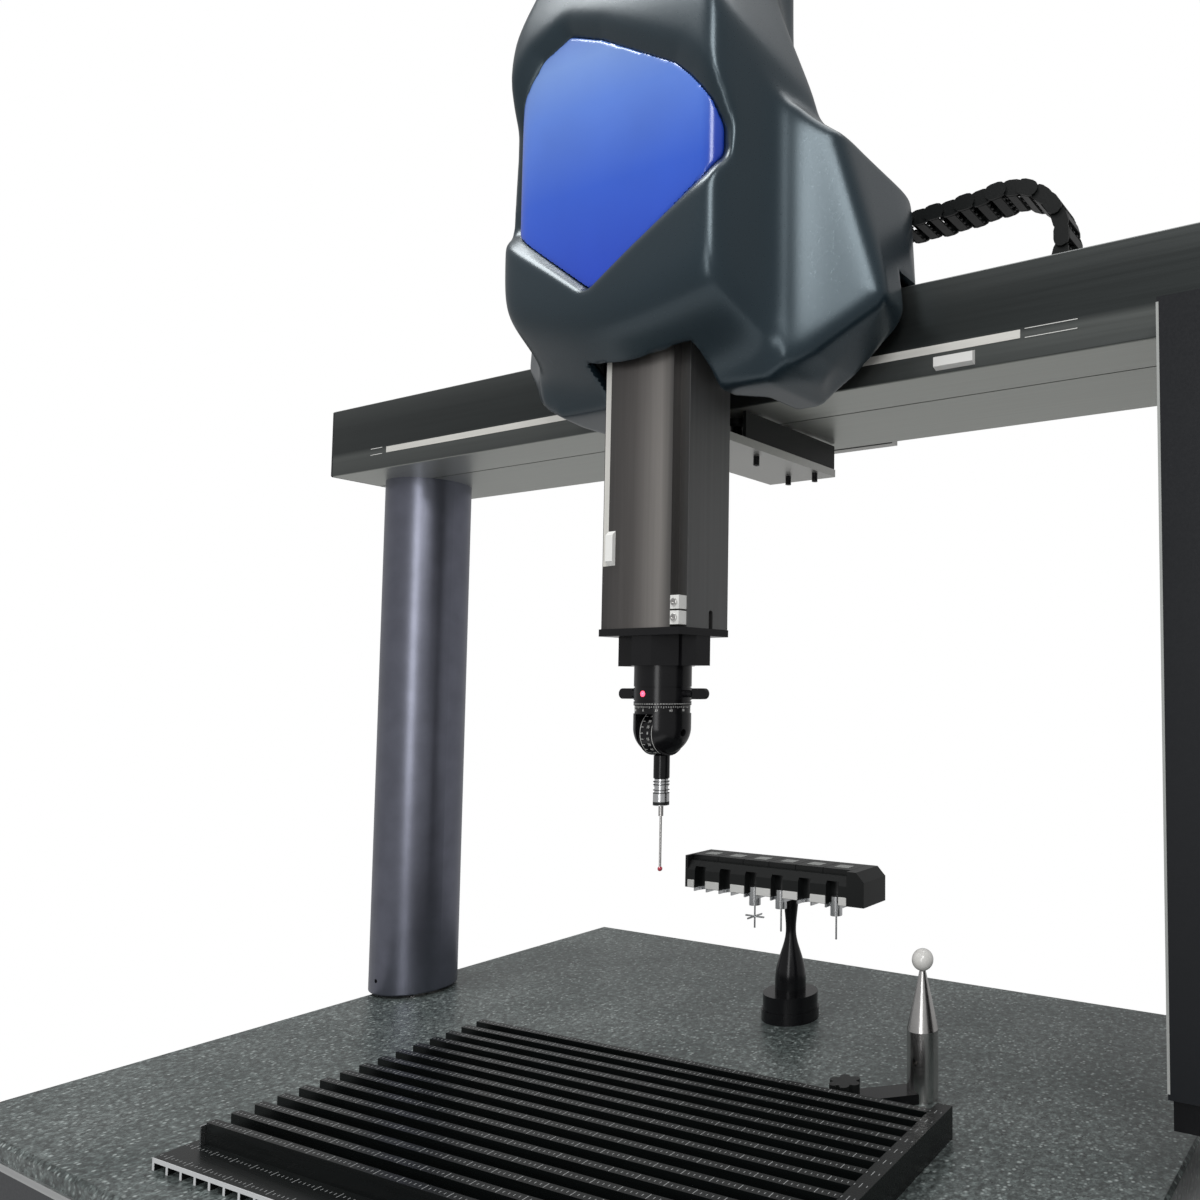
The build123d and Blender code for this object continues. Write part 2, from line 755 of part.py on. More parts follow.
bracket_mid_x = (bracket_x0 + bracket_x1) / 2
bracket_pad_ys = (beam_front + beam_depth / 4, beam_front + 3 * beam_depth / 4)
guide_in_x = quill_half_width + guide_room
guide_in_y = quill_half_depth + guide_room
guide_low_z = table_height + guide_low_rise
guide_high_z = table_height + guide_high_rise
pad_half = guide_pad_length / 2
with BuildPart() as carriage_air_pads:
    for x, y in ((bracket_x1 - 2 * bracket_screw_length, bracket_pad_ys[0]),
                 (bracket_mid_x, bracket_pad_ys[1]),
                 (bracket_x1 - bracket_screw_length, bracket_pad_ys[1])):
        rod_z(x, y, bracket_low - bracket_screw_length, bracket_low, bracket_screw_radius)
        rod_z(x, y, bracket_low - bracket_screw_length, bracket_low - bracket_screw_length / 2,
              bracket_screw_radius / 2, mode=Mode.SUBTRACT)
    front_face = beam_front - running_gap
    for x in (quill_x - front_pad_x, quill_x + front_pad_x):
        rod_y(x, front_face - pad_thickness, front_face, beam_low + front_pad_rise, pad_radius)
        rod_y(x, plate_back, front_face - pad_thickness, beam_low + front_pad_rise, stud_radius)
        top_face = beam_high + running_gap
        rod_z(x, bracket_pad_ys[0], top_face, top_face + pad_thickness, pad_radius)
        rod_z(x, bracket_pad_ys[0], top_face + pad_thickness, top_plate_low, stud_radius)
    for x in (quill_x - rear_pad_x, quill_x + rear_pad_x):
        rear_face = beam_back + running_gap
        rod_y(x, rear_face, rear_face + pad_thickness, x_wheel_z, small_pad_radius)
        rod_y(x, rear_face + pad_thickness, rear_plate_y0, x_wheel_z, stud_radius)
    for y in bracket_pad_ys:
        low_face = beam_low - running_gap
        rod_z(bracket_mid_x, y, low_face - pad_thickness, low_face, pad_radius)
        rod_z(bracket_mid_x, y, bracket_low + bracket_thickness, low_face - pad_thickness, stud_radius)
    for z0 in (guide_low_z, guide_high_z):
        for side in (-1, 1):
            x0, x1 = sorted((quill_x + side * (quill_half_width + running_gap), quill_x + side * guide_in_x))
            block(x0, x1, quill_y - pad_half, quill_y + pad_half, z0, z0 + guide_height)
            y0, y1 = sorted((quill_y + side * (quill_half_depth + running_gap), quill_y + side * guide_in_y))
            block(quill_x - pad_half, quill_x + pad_half, y0, y1, z0, z0 + guide_height)
save(carriage_air_pads, "carriage_air_pads")

with BuildPart() as x_drive_wheel:
    rod_z(quill_x, x_wheel_y, x_wheel_z - x_wheel_width / 2, x_wheel_z + x_wheel_width / 2, x_wheel_radius)
    rod_z(quill_x, x_wheel_y, x_wheel_z, top_plate_high - running_gap, wheel_shaft_radius)
save(x_drive_wheel, "x_drive_wheel")

# Quill guides: two collars on the plate, each with a groove that lets the Z target through
guide_front_y = quill_y - guide_in_y - guide_front_wall


def guide_collar(z0):
    """One collar from the plate round the quill."""
    block(quill_x - guide_half_width, quill_x + guide_half_width, guide_front_y, plate_front,
          z0, z0 + guide_height)
    block(quill_x - guide_in_x, quill_x + guide_in_x, quill_y - guide_in_y, quill_y + guide_in_y,
          z0, z0 + guide_height, mode=Mode.SUBTRACT)
    block(quill_x - guide_in_x, quill_x - pad_half - guide_room, quill_y - guide_in_y - guide_groove, quill_y,
          z0, z0 + guide_height, mode=Mode.SUBTRACT)


with BuildPart() as quill_guides:
    guide_collar(guide_low_z)
    guide_collar(guide_high_z)
save(quill_guides, "quill_guides")

# Quill: a tube with a scale step on its left edge and a notch along its right front corner
quill_left = quill_x - quill_half_width
quill_right = quill_x + quill_half_width
quill_front = quill_y - quill_half_depth
quill_back = quill_y + quill_half_depth
with BuildPart() as quill:
    with BuildSketch(Plane.XY.offset(quill_z0)):
        with BuildLine():
            Polyline((quill_left, quill_back), (quill_left, quill_front + quill_step_depth),
                     (quill_left + quill_step_width, quill_front + quill_step_depth),
                     (quill_left + quill_step_width, quill_front),
                     (quill_right - quill_notch_width, quill_front),
                     (quill_right - quill_notch_width, quill_front + quill_notch_depth),
                     (quill_right, quill_front + quill_notch_depth),
                     (quill_right, quill_back), close=True)
        make_face()
    extrude(amount=quill_length)
    block(quill_left + quill_wall + quill_step_width, quill_right - quill_wall - quill_notch_width,
          quill_front + quill_wall + quill_step_depth, quill_back - quill_wall, quill_z0, quill_z1,
          mode=Mode.SUBTRACT)
    slot_mid = quill_y + quill_slot_y
    block(quill_right - quill_wall / 2, quill_right + overrun, slot_mid - quill_slot_width / 2,
          slot_mid + quill_slot_width / 2, quill_z0, quill_z0 + quill_slot_height, mode=Mode.SUBTRACT)
    rod_x(quill_right - quill_wall / 2, quill_right + overrun, slot_mid, quill_z0 + quill_slot_height,
          quill_slot_width / 2, mode=Mode.SUBTRACT)
save(quill, "quill")

with BuildPart() as quill_end_plate:
    block(quill_left - end_plate_margin, quill_right + end_plate_margin, quill_front - end_plate_margin,
          quill_back + end_plate_margin, head_top, quill_z0)
    chamfer(quill_end_plate.edges().filter_by(Axis.Z), end_plate_margin)
save(quill_end_plate, "quill_end_plate")

with BuildPart() as z_scale:
    block(quill_left + end_plate_margin, quill_left + end_plate_margin + z_tape_width,
          quill_front + quill_step_depth - tape_thickness, quill_front + quill_step_depth,
          quill_z0 + z_target_rise, quill_z1 - end_plate_thickness)
save(z_scale, "z_scale")

with BuildPart() as scale_fittings:
    target_x0 = quill_left + quill_step_width
    target_z0 = quill_z0 + z_target_rise
    with BuildSketch(Plane.YZ.offset(target_x0)):
        with BuildLine():
            Polyline((quill_front, target_z0), (quill_front - z_target_depth, target_z0 + z_target_depth),
                     (quill_front - z_target_depth, target_z0 + z_target_height - z_target_depth),
                     (quill_front, target_z0 + z_target_height), close=True)
        make_face()
    extrude(amount=z_target_width)
    clamp_x0 = quill_right - quill_notch_width
    for step in range(2):
        z0 = quill_z0 + clamp_rise + step * (clamp_height + clamp_gap)
        block(clamp_x0, clamp_x0 + clamp_width, quill_front, quill_front + quill_notch_depth,
              z0, z0 + clamp_height)
        rod_y(clamp_x0 + clamp_width / 2, quill_front - tape_thickness, quill_front, z0 + clamp_height / 2,
              clamp_height / 4)
save(scale_fittings, "scale_fittings")

# Balance cylinder inside the quill, with a cap whose arm reaches through the mast's slot to the belt
belt_mid_y = (z_pulley_y0 + z_pulley_y1) / 2
belt_y0 = belt_mid_y - belt_width / 2
belt_y1 = belt_mid_y + belt_width / 2
balance_low = quill_z1 - balance_length
with BuildPart() as balance_cylinder:
    block(quill_left + quill_wall, quill_right - quill_wall, quill_front + quill_wall, quill_back,
          quill_z1, quill_z1 + cap_thickness)
    rod_z(quill_x, quill_y, quill_z1, quill_z1 + cap_thickness, balance_bore, mode=Mode.SUBTRACT)
    block(quill_x - z_pulley_radius, quill_x + z_pulley_radius, quill_back, belt_y1,
          quill_z1, quill_z1 + cap_thickness)
    rod_z(quill_x, quill_y, balance_low, quill_z1, balance_bore + balance_wall)
    rod_z(quill_x, quill_y, balance_low, quill_z1, balance_bore, mode=Mode.SUBTRACT)
save(balance_cylinder, "balance_cylinder")

piston_z = table_height + piston_rise
with BuildPart() as balance_piston:
    rod_z(quill_x, quill_y, piston_z - piston_length, piston_z, balance_bore - fit_gap)
    rod_z(quill_x, quill_y, piston_z, rod_top, balance_rod_radius)
save(balance_piston, "balance_piston")

# Belt drive of the quill behind the mast
belt_in = z_pulley_radius + running_gap
belt_out = belt_in + belt_thickness
with BuildPart() as z_belt:
    for y in (z_pulley_z, z_idler_z):
        rod_y(quill_x, belt_y0, belt_y1, y, belt_out)
    block(quill_x - belt_out, quill_x + belt_out, belt_y0, belt_y1, z_pulley_z, z_idler_z)
    for y in (z_pulley_z, z_idler_z):
        rod_y(quill_x, belt_y0, belt_y1, y, belt_in, mode=Mode.SUBTRACT)
    block(quill_x - belt_in, quill_x + belt_in, belt_y0, belt_y1, z_pulley_z, z_idler_z, mode=Mode.SUBTRACT)
save(z_belt, "z_belt")

with BuildPart() as z_drive_pulley:
    rod_y(quill_x, z_pulley_y0, z_pulley_y1, z_pulley_z, z_pulley_radius)
    rod_y(quill_x, z_pulley_y1, z_pulley_y1 + pulley_clearance, z_pulley_z, wheel_shaft_radius)
save(z_drive_pulley, "z_drive_pulley")

with BuildPart() as z_idler_pulley:
    rod_y(quill_x, z_pulley_y0, z_pulley_y1, z_idler_z, z_pulley_radius)
    rod_y(quill_x, z_pulley_y0, z_pulley_y1, z_idler_z, wheel_shaft_radius + fit_gap, mode=Mode.SUBTRACT)
save(z_idler_pulley, "z_idler_pulley")

motor_y0 = z_pulley_y1 + pulley_clearance + running_gap
with BuildPart() as carriage_motors:
    rod_z(quill_x, x_wheel_y, top_plate_high, top_plate_high + x_motor_height, x_motor_radius)
    rod_y(quill_x, motor_y0, motor_y0 + z_motor_length, z_pulley_z, z_motor_radius)
    block(quill_x - z_motor_radius, quill_x + z_motor_radius, motor_y0, motor_y0 + z_motor_flange,
          z_pulley_z - z_motor_radius, z_pulley_z + z_motor_radius)
    for x in (-z_motor_post_offset, z_motor_post_offset):
        for z in (-z_motor_post_offset, z_motor_post_offset):
            rod_y(quill_x + x, plate_back, motor_y0, z_pulley_z + z, z_motor_post_radius)
save(carriage_motors, "carriage_motors")


# Moulded cover. Each form is the meeting of three outlines: plan, front view and side view.
def mirrored(points):
    """The right half of an outline, completed on the left of the cover's middle line."""
    return [(cover_x + x, y) for x, y in points] + [(cover_x - x, y) for x, y in reversed(points)]


def prism(plane, points, radius, amount, both, mode):
    """Extrude a closed outline with softened corners."""
    with BuildSketch(plane) as outline:
        with BuildLine():
            Polyline(*points, close=True)
        make_face()
        fillet(outline.vertices(), radius)
    extrude(outline.sketch, amount=amount, both=both, mode=mode)


def cover_wings(skin):
    """The wide body either side of the nose, made smaller by the skin on every side."""
    low, high = table_height + wing_low + skin, table_height + wing_top - skin
    plan = mirrored([(nose_flare_half - skin, nose_flare_y + skin), (ridge_half - skin, ridge_y + skin),
                     (shoulder_half - skin, shoulder_y), (hip_half - skin, hip_y),
                     (tail_half - skin, tail_y - skin)])
    front = mirrored([(wing_foot_half - skin, low),
                      (wing_bend_half - skin, table_height + wing_bend_low + skin),
                      (ridge_half - skin, table_height + wing_wide),
                      (wing_top_half - skin, table_height + wing_top_low - skin),
                      (nose_half_back - skin, high)])
    with BuildPart() as wings:
        prism(Plane.XY.offset(low), plan, soft_edge - skin, high - low, False, Mode.ADD)
        prism(Plane.XZ, front, soft_edge - skin, overall_width, True, Mode.INTERSECT)
    return wings.part


def cover_tower(skin):
    """The nose and the tall tower above it, made smaller by the skin on every side."""
    low, high = table_height + chin_low + skin, table_height + tower_top - skin
    plan = mirrored([(nose_half_front - skin, nose_front + skin), (nose_half_back - skin, nose_back_y),
                     (nose_waist_half - skin, nose_waist_y), (nose_tail_half - skin, nose_tail_y - skin)])
    front = mirrored([(tail_half - skin, low), (nose_half_back - skin, table_height + chin_side + skin),
                      (nose_half_back - skin, table_height + tower_taper_low),
                      (tower_half - skin, table_height + tower_taper_high), (tower_half - skin, high)])
    side = [(nose_front + skin, table_height + chin_front + skin), (chin_back, low),
            (nose_tail_y - skin, low),
            (nose_tail_y - skin, table_height + hump_low - skin),
            (nose_tail_y - hump_round - skin, table_height + hump_top - skin),
            (back_slope_low_y, table_height + back_slope_low - skin),
            (back_slope_mid_y - skin, table_height + back_slope_mid),
            (tower_back - skin, table_height + back_slope_high),
            (tower_back - skin, high), (tower_front + skin, high),
            (tower_front + skin, table_height + tower_taper_high),
            (nose_front + skin, table_height + brow)]
    with BuildPart() as tower:
        prism(Plane.XY.offset(low), plan, soft_corner - skin, high - low, False, Mode.ADD)
        prism(Plane.YZ, side, soft_edge - skin, overall_width, True, Mode.INTERSECT)
        prism(Plane.XZ, front, soft_edge - skin, overall_width, True, Mode.INTERSECT)
    return tower.part


window_points = [
    (quill_x + window_left_x, table_height + window_left_low_z),
    (quill_x + window_point_x, table_height + window_point_z),
    (quill_x + window_jaw_x, table_height + window_jaw_z),
    (quill_x + window_right_x, table_height + window_right_low_z),
    (quill_x + window_right_x, table_height + window_right_high_z),
    (quill_x + window_shoulder_x, table_height + window_shoulder_z),
    (quill_x + window_brow_x, table_height + window_brow_z),
    (quill_x + window_crown_x, table_height + window_crown_z),
    (quill_x + window_temple_x, table_height + window_temple_z),
    (quill_x + window_left_x, table_height + window_left_high_z),
]
window_back_y = plate_front

wings_out, wings_in = cover_wings(0), cover_wings(cover_wall)
tower_out, tower_in = cover_tower(0), cover_tower(cover_wall)
tower_sunk, tower_pane = cover_tower(window_depth), cover_tower(window_depth - window_sheet)
tower_core = cover_tower(window_depth + cover_wall)


def window_form(grow):
    """A solid through the nose with the window's outline, made larger or smaller."""
    with BuildSketch(Plane.XZ.offset(-window_back_y)) as outline:
        with BuildLine():
            Polyline(*window_points, close=True)
        make_face()
        fillet(outline.vertices(), window_corner)
        offset(amount=grow)
    extrude(outline.sketch, amount=-2 * window_back_y)


with BuildPart() as window_plug:
    window_form(window_gap)
    add(tower_sunk, mode=Mode.SUBTRACT)

with BuildPart() as window_seat:
    window_form(cover_wall)
    add(tower_in, mode=Mode.INTERSECT)
    add(tower_core, mode=Mode.SUBTRACT)

# Lugs by which the front shell sits on the plate and the rear shell on the rear plate
front_lug_z = table_height + wing_top_low - lug_drop
with BuildPart() as front_lugs:
    for x0, x1 in ((cover_x - ridge_half, quill_x - plate_half_width),
                   (quill_x + plate_half_width, cover_x + ridge_half)):
        block(x0, x1, plate_front, plate_back, front_lug_z, front_lug_z + lug_height)
    add(wings_out, mode=Mode.INTERSECT)

rear_lug_z = top_plate_low - 2 * lug_height
with BuildPart() as rear_lugs:
    for x0, x1 in ((cover_x - hip_half, quill_x - rear_half_width),
                   (quill_x + rear_half_width, cover_x + hip_half)):
        block(x0, x1, rear_plate_y0, rear_plate_y1, rear_lug_z, rear_lug_z + lug_height)
    add(wings_out, mode=Mode.INTERSECT)


def beam_passage():
    """Room for the beam, the open underside and the cable chain, cut through both cover shells."""
    block(-overall_width, overall_width, beam_front - beam_face_room, beam_back + beam_room,
          beam_low - overall_width, beam_high + beam_room, mode=Mode.SUBTRACT)
    mouth_front = quill_y - quill_half_depth - z_target_depth - mouth_room
    block(quill_x - mouth_half_width, quill_x + mouth_half_width, mouth_front, tail_y - cover_wall,
          table_height, table_height + chin_low + 3 * cover_wall, mode=Mode.SUBTRACT)
    chain_side = chain_width / 2 + chain_clearance
    block(-overall_width, overall_width, chain_y - chain_side, chain_y + chain_side,
          beam_low, chain_low_z + chain_height / 2 + chain_clearance, mode=Mode.SUBTRACT)
    block(quill_x + rear_half_width, overall_width, chain_y - chain_side, chain_y + chain_side,
          chain_high_z - chain_height / 2 - chain_clearance, chain_high_z + chain_height / 2 + chain_clearance,
          mode=Mode.SUBTRACT)


with BuildPart() as front_cover:
    add(wings_out)
    add(tower_out)
    add(wings_in, mode=Mode.SUBTRACT)
    add(tower_in, mode=Mode.SUBTRACT)
    add(window_seat.part)
    add(window_plug.part, mode=Mode.SUBTRACT)
    add(front_lugs.part)
    beam_passage()
    block(-overall_width, overall_width, seam_y, overall_width, 0, 2 * table_height + tower_top,
          mode=Mode.SUBTRACT)
save(front_cover, "front_cover")

with BuildPart() as rear_cover:
    add(wings_out)
    add(tower_out)
    add(wings_in, mode=Mode.SUBTRACT)
    add(tower_in, mode=Mode.SUBTRACT)
    add(rear_lugs.part)
    beam_passage()
    block(-overall_width, overall_width, -overall_width, seam_y, 0, 2 * table_height + tower_top,
          mode=Mode.SUBTRACT)
save(rear_cover, "rear_cover")

with BuildPart() as window_panel:
    window_form(0)
    add(tower_pane, mode=Mode.INTERSECT)
    add(tower_sunk, mode=Mode.SUBTRACT)
save(window_panel, "window_panel")

# Cable chain: upper run from the cover, loop that moves at half speed, lower run on the beam
def chain_links(x0, x1, z):
    """Straight links between two places."""
    count = round((x1 - x0) / chain_pitch)
    step = (x1 - x0) / count
    for i in range(count):
        x = x0 + i * step + chain_link_gap / 2
        link = step - chain_link_gap
        for y in (chain_y - chain_width / 2, chain_y + chain_width / 2 - chain_wall):
            block(x, x + link, y, y + chain_wall, z - chain_height / 2, z + chain_height / 2)
        for side in (-1, 1):
            z0, z1 = sorted((z + side * (chain_height / 2 - chain_wall), z + side * chain_height / 2))
            block(x + link / 4, x + 3 * link / 4, chain_y - chain_width / 2, chain_y + chain_width / 2,
                  z0, z1)
    block(x0, x1, chain_y - chain_width / 2 + chain_wall / 4, chain_y - chain_width / 2 + 3 * chain_wall / 4,
          z - chain_bridge_height, z + chain_bridge_height)
    block(x0, x1, chain_y + chain_width / 2 - 3 * chain_wall / 4, chain_y + chain_width / 2 - chain_wall / 4,
          z - chain_bridge_height, z + chain_bridge_height)


with BuildPart() as chain_upper_run:
    chain_links(chain_start_x, chain_loop_x - running_gap, chain_high_z)
    block(quill_x + rear_half_width, chain_start_x, chain_y - chain_width / 2, chain_y + chain_width / 2,
          chain_high_z - chain_height / 2, chain_high_z + chain_height / 2)
save(chain_upper_run, "chain_upper_run")

with BuildPart() as chain_lower_run:
    chain_links(chain_fixed_x + chain_anchor_length, chain_loop_x - running_gap, chain_low_z)
save(chain_lower_run, "chain_lower_run")

loop_links = round(math.pi * chain_radius / chain_pitch)
loop_turn = 180 / loop_links
loop_tread = 2 * chain_radius * math.tan(math.radians(loop_turn / 2)) - chain_link_gap
with BuildPart() as chain_loop:
    for i in range(loop_links):
        turn = (i + 1 / 2) * loop_turn
        angle = math.radians(turn)
        centre = Vector(chain_loop_x + chain_radius * math.sin(angle), chain_y,
                        chain_mid_z - chain_radius * math.cos(angle))
        with Locations(Location(centre, (0, -turn, 0))):
            Box(loop_tread, chain_width, chain_height)
            Box(loop_tread, chain_width - 2 * chain_wall, chain_height - 2 * chain_wall, mode=Mode.SUBTRACT)
    for side in (-1, 1):
        y = chain_y + side * (chain_width - chain_wall) / 2
        with BuildSketch(Plane.XZ.offset(-y)):
            with Locations((chain_loop_x, chain_mid_z)):
                Circle(chain_radius + chain_bridge_height)
                Circle(chain_radius - chain_bridge_height, mode=Mode.SUBTRACT)
            with Locations((chain_loop_x - chain_radius, chain_mid_z)):
                Rectangle(2 * chain_radius, 4 * chain_radius, mode=Mode.SUBTRACT)
        extrude(amount=chain_wall / 4, both=True)
    block(chain_loop_x - 2 * chain_radius, chain_loop_x, chain_y - chain_width, chain_y + chain_width,
          chain_mid_z - 2 * chain_radius, chain_mid_z + 2 * chain_radius, mode=Mode.SUBTRACT)
save(chain_loop, "chain_loop")

with BuildPart() as chain_tray:
    block(chain_fixed_x, beam_x1 - leg_width, chain_y - chain_width / 2, chain_y + chain_width / 2,
          beam_high, beam_high + chain_foot)
    block(chain_fixed_x, chain_fixed_x + chain_anchor_length,
          chain_y - chain_width / 2, chain_y + chain_width / 2,
          beam_high + chain_foot, chain_low_z + chain_height / 2)
save(chain_tray, "chain_tray")

# Probe head
with BuildPart() as head_adaptor:
    with BuildSketch(Plane.XY.offset(collar_top)):
        with Locations((quill_x, quill_y)):
            boss_face = Rectangle(boss_flats, boss_flats)
        chamfer(boss_face.vertices(), boss_chamfer)
        with Locations((quill_x, quill_y)):
            Rectangle(bar_length, bar_width)
    extrude(amount=boss_height)
save(head_adaptor, "head_adaptor")

lever_z = lamp_top - lever_drop
with BuildPart() as head_body:
    rod_z(quill_x, quill_y, dial_top, collar_top, collar_radius)
    for z in (lamp_top, dial_top + lamp_ring_height / 4):
        with BuildSketch(Plane.XY.offset(z - ring_groove / 2)):
            with Locations((quill_x, quill_y)):
                Circle(collar_radius + overrun)
                Circle(collar_radius - ring_groove, mode=Mode.SUBTRACT)
        extrude(amount=ring_groove, mode=Mode.SUBTRACT)
    rod_x(quill_x - collar_radius - overrun, quill_x + collar_radius + overrun, quill_y, lever_z,
          lever_radius + fit_gap, mode=Mode.SUBTRACT)
    rod_y(quill_x, quill_y - collar_radius - overrun, quill_y - collar_radius + lamp_depth, lever_z, lamp_radius,
          mode=Mode.SUBTRACT)
save(head_body, "head_body")

with BuildPart() as head_lamp:
    rod_y(quill_x, quill_y - collar_radius, quill_y - collar_radius + lamp_depth, lever_z, lamp_radius)
    with Locations((quill_x, quill_y - collar_radius, lever_z)):
        Sphere(lamp_radius / 2)
save(head_lamp, "head_lamp")

with BuildPart() as lock_levers:
    rod_x(quill_x - lever_reach + lever_tab_length, quill_x + lever_reach - lever_tab_length, quill_y, lever_z,
          lever_radius)
    for side in (-1, 1):
        x0, x1 = sorted((quill_x + side * (lever_reach - lever_tab_length), quill_x + side * lever_reach))
        block(x0, x1, quill_y - lever_tab_thickness / 2, quill_y + lever_tab_thickness / 2,
              lever_z - lever_tab_height / 2, lever_z + lever_tab_height / 2)
        rod_y(quill_x + side * lever_reach, quill_y - lever_tab_thickness / 2, quill_y + lever_tab_thickness / 2,
              lever_z, lever_tab_height / 2)
save(lock_levers, "lock_levers")

drum_half = drum_width / 2
slot_half = drum_half + running_gap
with BuildPart() as head_dome:
    with BuildSketch(Plane.XZ.offset(-quill_y)):
        with BuildLine():
            edge = Line((quill_x, dial_top - fit_gap), (quill_x + dial_radius, dial_top - fit_gap))
            Polyline(edge @ 1, (quill_x + dial_radius, dome_top), (quill_x + collar_radius, dome_top),
                     (quill_x + collar_radius, dome_low + collar_radius))
            ThreePointArc((quill_x + collar_radius, dome_low + collar_radius),
                          (quill_x + collar_radius * math.sin(math.radians(45)),
                           dome_low + collar_radius - collar_radius * math.cos(math.radians(45))),
                          (quill_x, dome_low))
            Line((quill_x, dome_low), edge @ 0)
        make_face()
    revolve(axis=Axis((quill_x, quill_y, 0), (0, 0, 1)))
    block(quill_x - slot_half, quill_x + slot_half, quill_y - 2 * collar_radius, quill_y + 2 * collar_radius,
          dome_low - overrun, drum_axis_z, mode=Mode.SUBTRACT)
    rod_x(quill_x - slot_half, quill_x + slot_half, quill_y, drum_axis_z, drum_radius + running_gap,
          mode=Mode.SUBTRACT)
    block(quill_x - slot_half, quill_x + slot_half, quill_y - 2 * collar_radius, quill_y,
          drum_axis_z, dome_top - running_gap, mode=Mode.SUBTRACT)
    block(quill_x - slot_half, quill_x + slot_half, quill_y, quill_y + 2 * collar_radius,
          drum_axis_z, drum_axis_z + probe_radius + running_gap, mode=Mode.SUBTRACT)
    rod_x(quill_x - collar_radius, quill_x + collar_radius, quill_y, drum_axis_z, drum_pin_radius + fit_gap,
          mode=Mode.SUBTRACT)
save(head_dome, "head_dome")

with BuildPart() as tilt_drum:
    rod_x(quill_x - drum_half, quill_x + drum_half, quill_y, drum_axis_z, drum_radius)
    with BuildSketch(Plane.YZ.offset(quill_x - drum_half + drum_recess * 2)):
        with Locations((quill_y, drum_axis_z)):
            Circle(drum_radius + overrun)
            Circle(drum_radius - drum_recess, mode=Mode.SUBTRACT)
    extrude(amount=drum_recess, mode=Mode.SUBTRACT)
    rod_x(quill_x - slot_half - drum_pin_radius, quill_x + slot_half + drum_pin_radius, quill_y, drum_axis_z,
          drum_pin_radius)
save(tilt_drum, "tilt_drum")

with BuildPart() as probe_body:
    rod_z(quill_x, quill_y, probe_low, drum_axis_z - drum_radius, probe_radius)
    rod_z(quill_x, quill_y, probe_low, probe_low + probe_length / 4, probe_radius)
    rod_x(quill_x - drum_half, quill_x + drum_half, quill_y, drum_axis_z, drum_radius, mode=Mode.SUBTRACT)
    chamfer(probe_body.edges().group_by(Axis.Z)[0], ring_groove)
save(probe_body, "probe_body")

with BuildPart() as stylus_module:
    rod_z(quill_x, quill_y, module_low, probe_low, module_radius)
    for share in (1 / 4, 1 / 2, 3 / 4):
        with BuildSketch(Plane.XY.offset(module_low + share * module_length - ring_groove / 2)):
            with Locations((quill_x, quill_y)):
                Circle(module_radius + module_ring_depth)
        extrude(amount=ring_groove)
    rod_z(quill_x, quill_y, holder_top, module_low, module_collar_radius)
    rod_z(quill_x, quill_y, holder_top, holder_top + stylus_travel_room, stylus_holder_radius + fit_gap,
          mode=Mode.SUBTRACT)
save(stylus_module, "stylus_module")

with BuildPart() as stylus:
    rod_z(quill_x, quill_y, holder_top - stylus_holder_length, holder_top + stylus_seat, stylus_holder_radius)
    rod_z(quill_x, quill_y, tip_z + 2 * ball_radius - ring_groove, holder_top - stylus_holder_length,
          stem_radius)
save(stylus, "stylus")

with BuildPart() as stylus_ball:
    with Locations((quill_x, quill_y, tip_z + ball_radius)):
        Sphere(ball_radius)
    rod_z(quill_x, quill_y, tip_z + 2 * ball_radius - ring_groove, tip_z + 3 * ball_radius, stem_radius,
          mode=Mode.SUBTRACT)
save(stylus_ball, "stylus_ball")

# Fixture plate: ribbed sheet, fins along its length and a rail at its right end
fixture_frame = Plane(origin=(fixture_x, fixture_y, table_height), x_dir=(math.cos(math.radians(fixture_turn)),
                                                                          math.sin(math.radians(fixture_turn)), 0),
                      z_dir=(0, 0, 1))


def fixture_block(x0, x1, y0, y1, z0, z1):
    """A box between two corners in the plate's own turned frame."""
    middle = fixture_frame.from_local_coords(Vector((x0 + x1) / 2, (y0 + y1) / 2, (z0 + z1) / 2))
    with Locations(Location(middle, (0, 0, fixture_turn))):
        Box(x1 - x0, y1 - y0, z1 - z0)


fixture_x0, fixture_x1 = -fixture_length / 2, fixture_length / 2
fixture_y0, fixture_y1 = -fixture_width / 2, fixture_width / 2
sheet_low = fixture_web_height
sheet_high = sheet_low + fixture_sheet
with BuildPart() as fixture_base:
    fixture_block(fixture_x0, fixture_x1, fixture_y0, fixture_y1, sheet_low, sheet_high)
    web_count = int(fixture_length / fixture_web_pitch)
    for i in range(web_count + 1):
        x = fixture_x0 + i * (fixture_length - fixture_web_thickness) / web_count
        fixture_block(x, x + fixture_web_thickness, fixture_y0, fixture_y1, 0, sheet_low)
save(fixture_base, "fixture_base")

fin_end = fixture_x1 - side_rail_width - running_gap
with BuildPart() as fixture_fins:
    for i in range(fin_count):
        y = fixture_y0 + fin_start + i * fin_pitch
        fixture_block(fixture_x0 + fin_inset, fin_end, y, y + fin_neck, sheet_high, sheet_high + fin_height)
        fixture_block(fixture_x0 + fin_inset, fin_end, y, y + fin_thickness,
                      sheet_high + fin_height - fin_neck, sheet_high + fin_height)
    fixture_block(fixture_x1 - side_rail_width, fixture_x1, fixture_y0, fixture_y1, sheet_high,
                  sheet_high + fin_height)
save(fixture_fins, "fixture_fins")

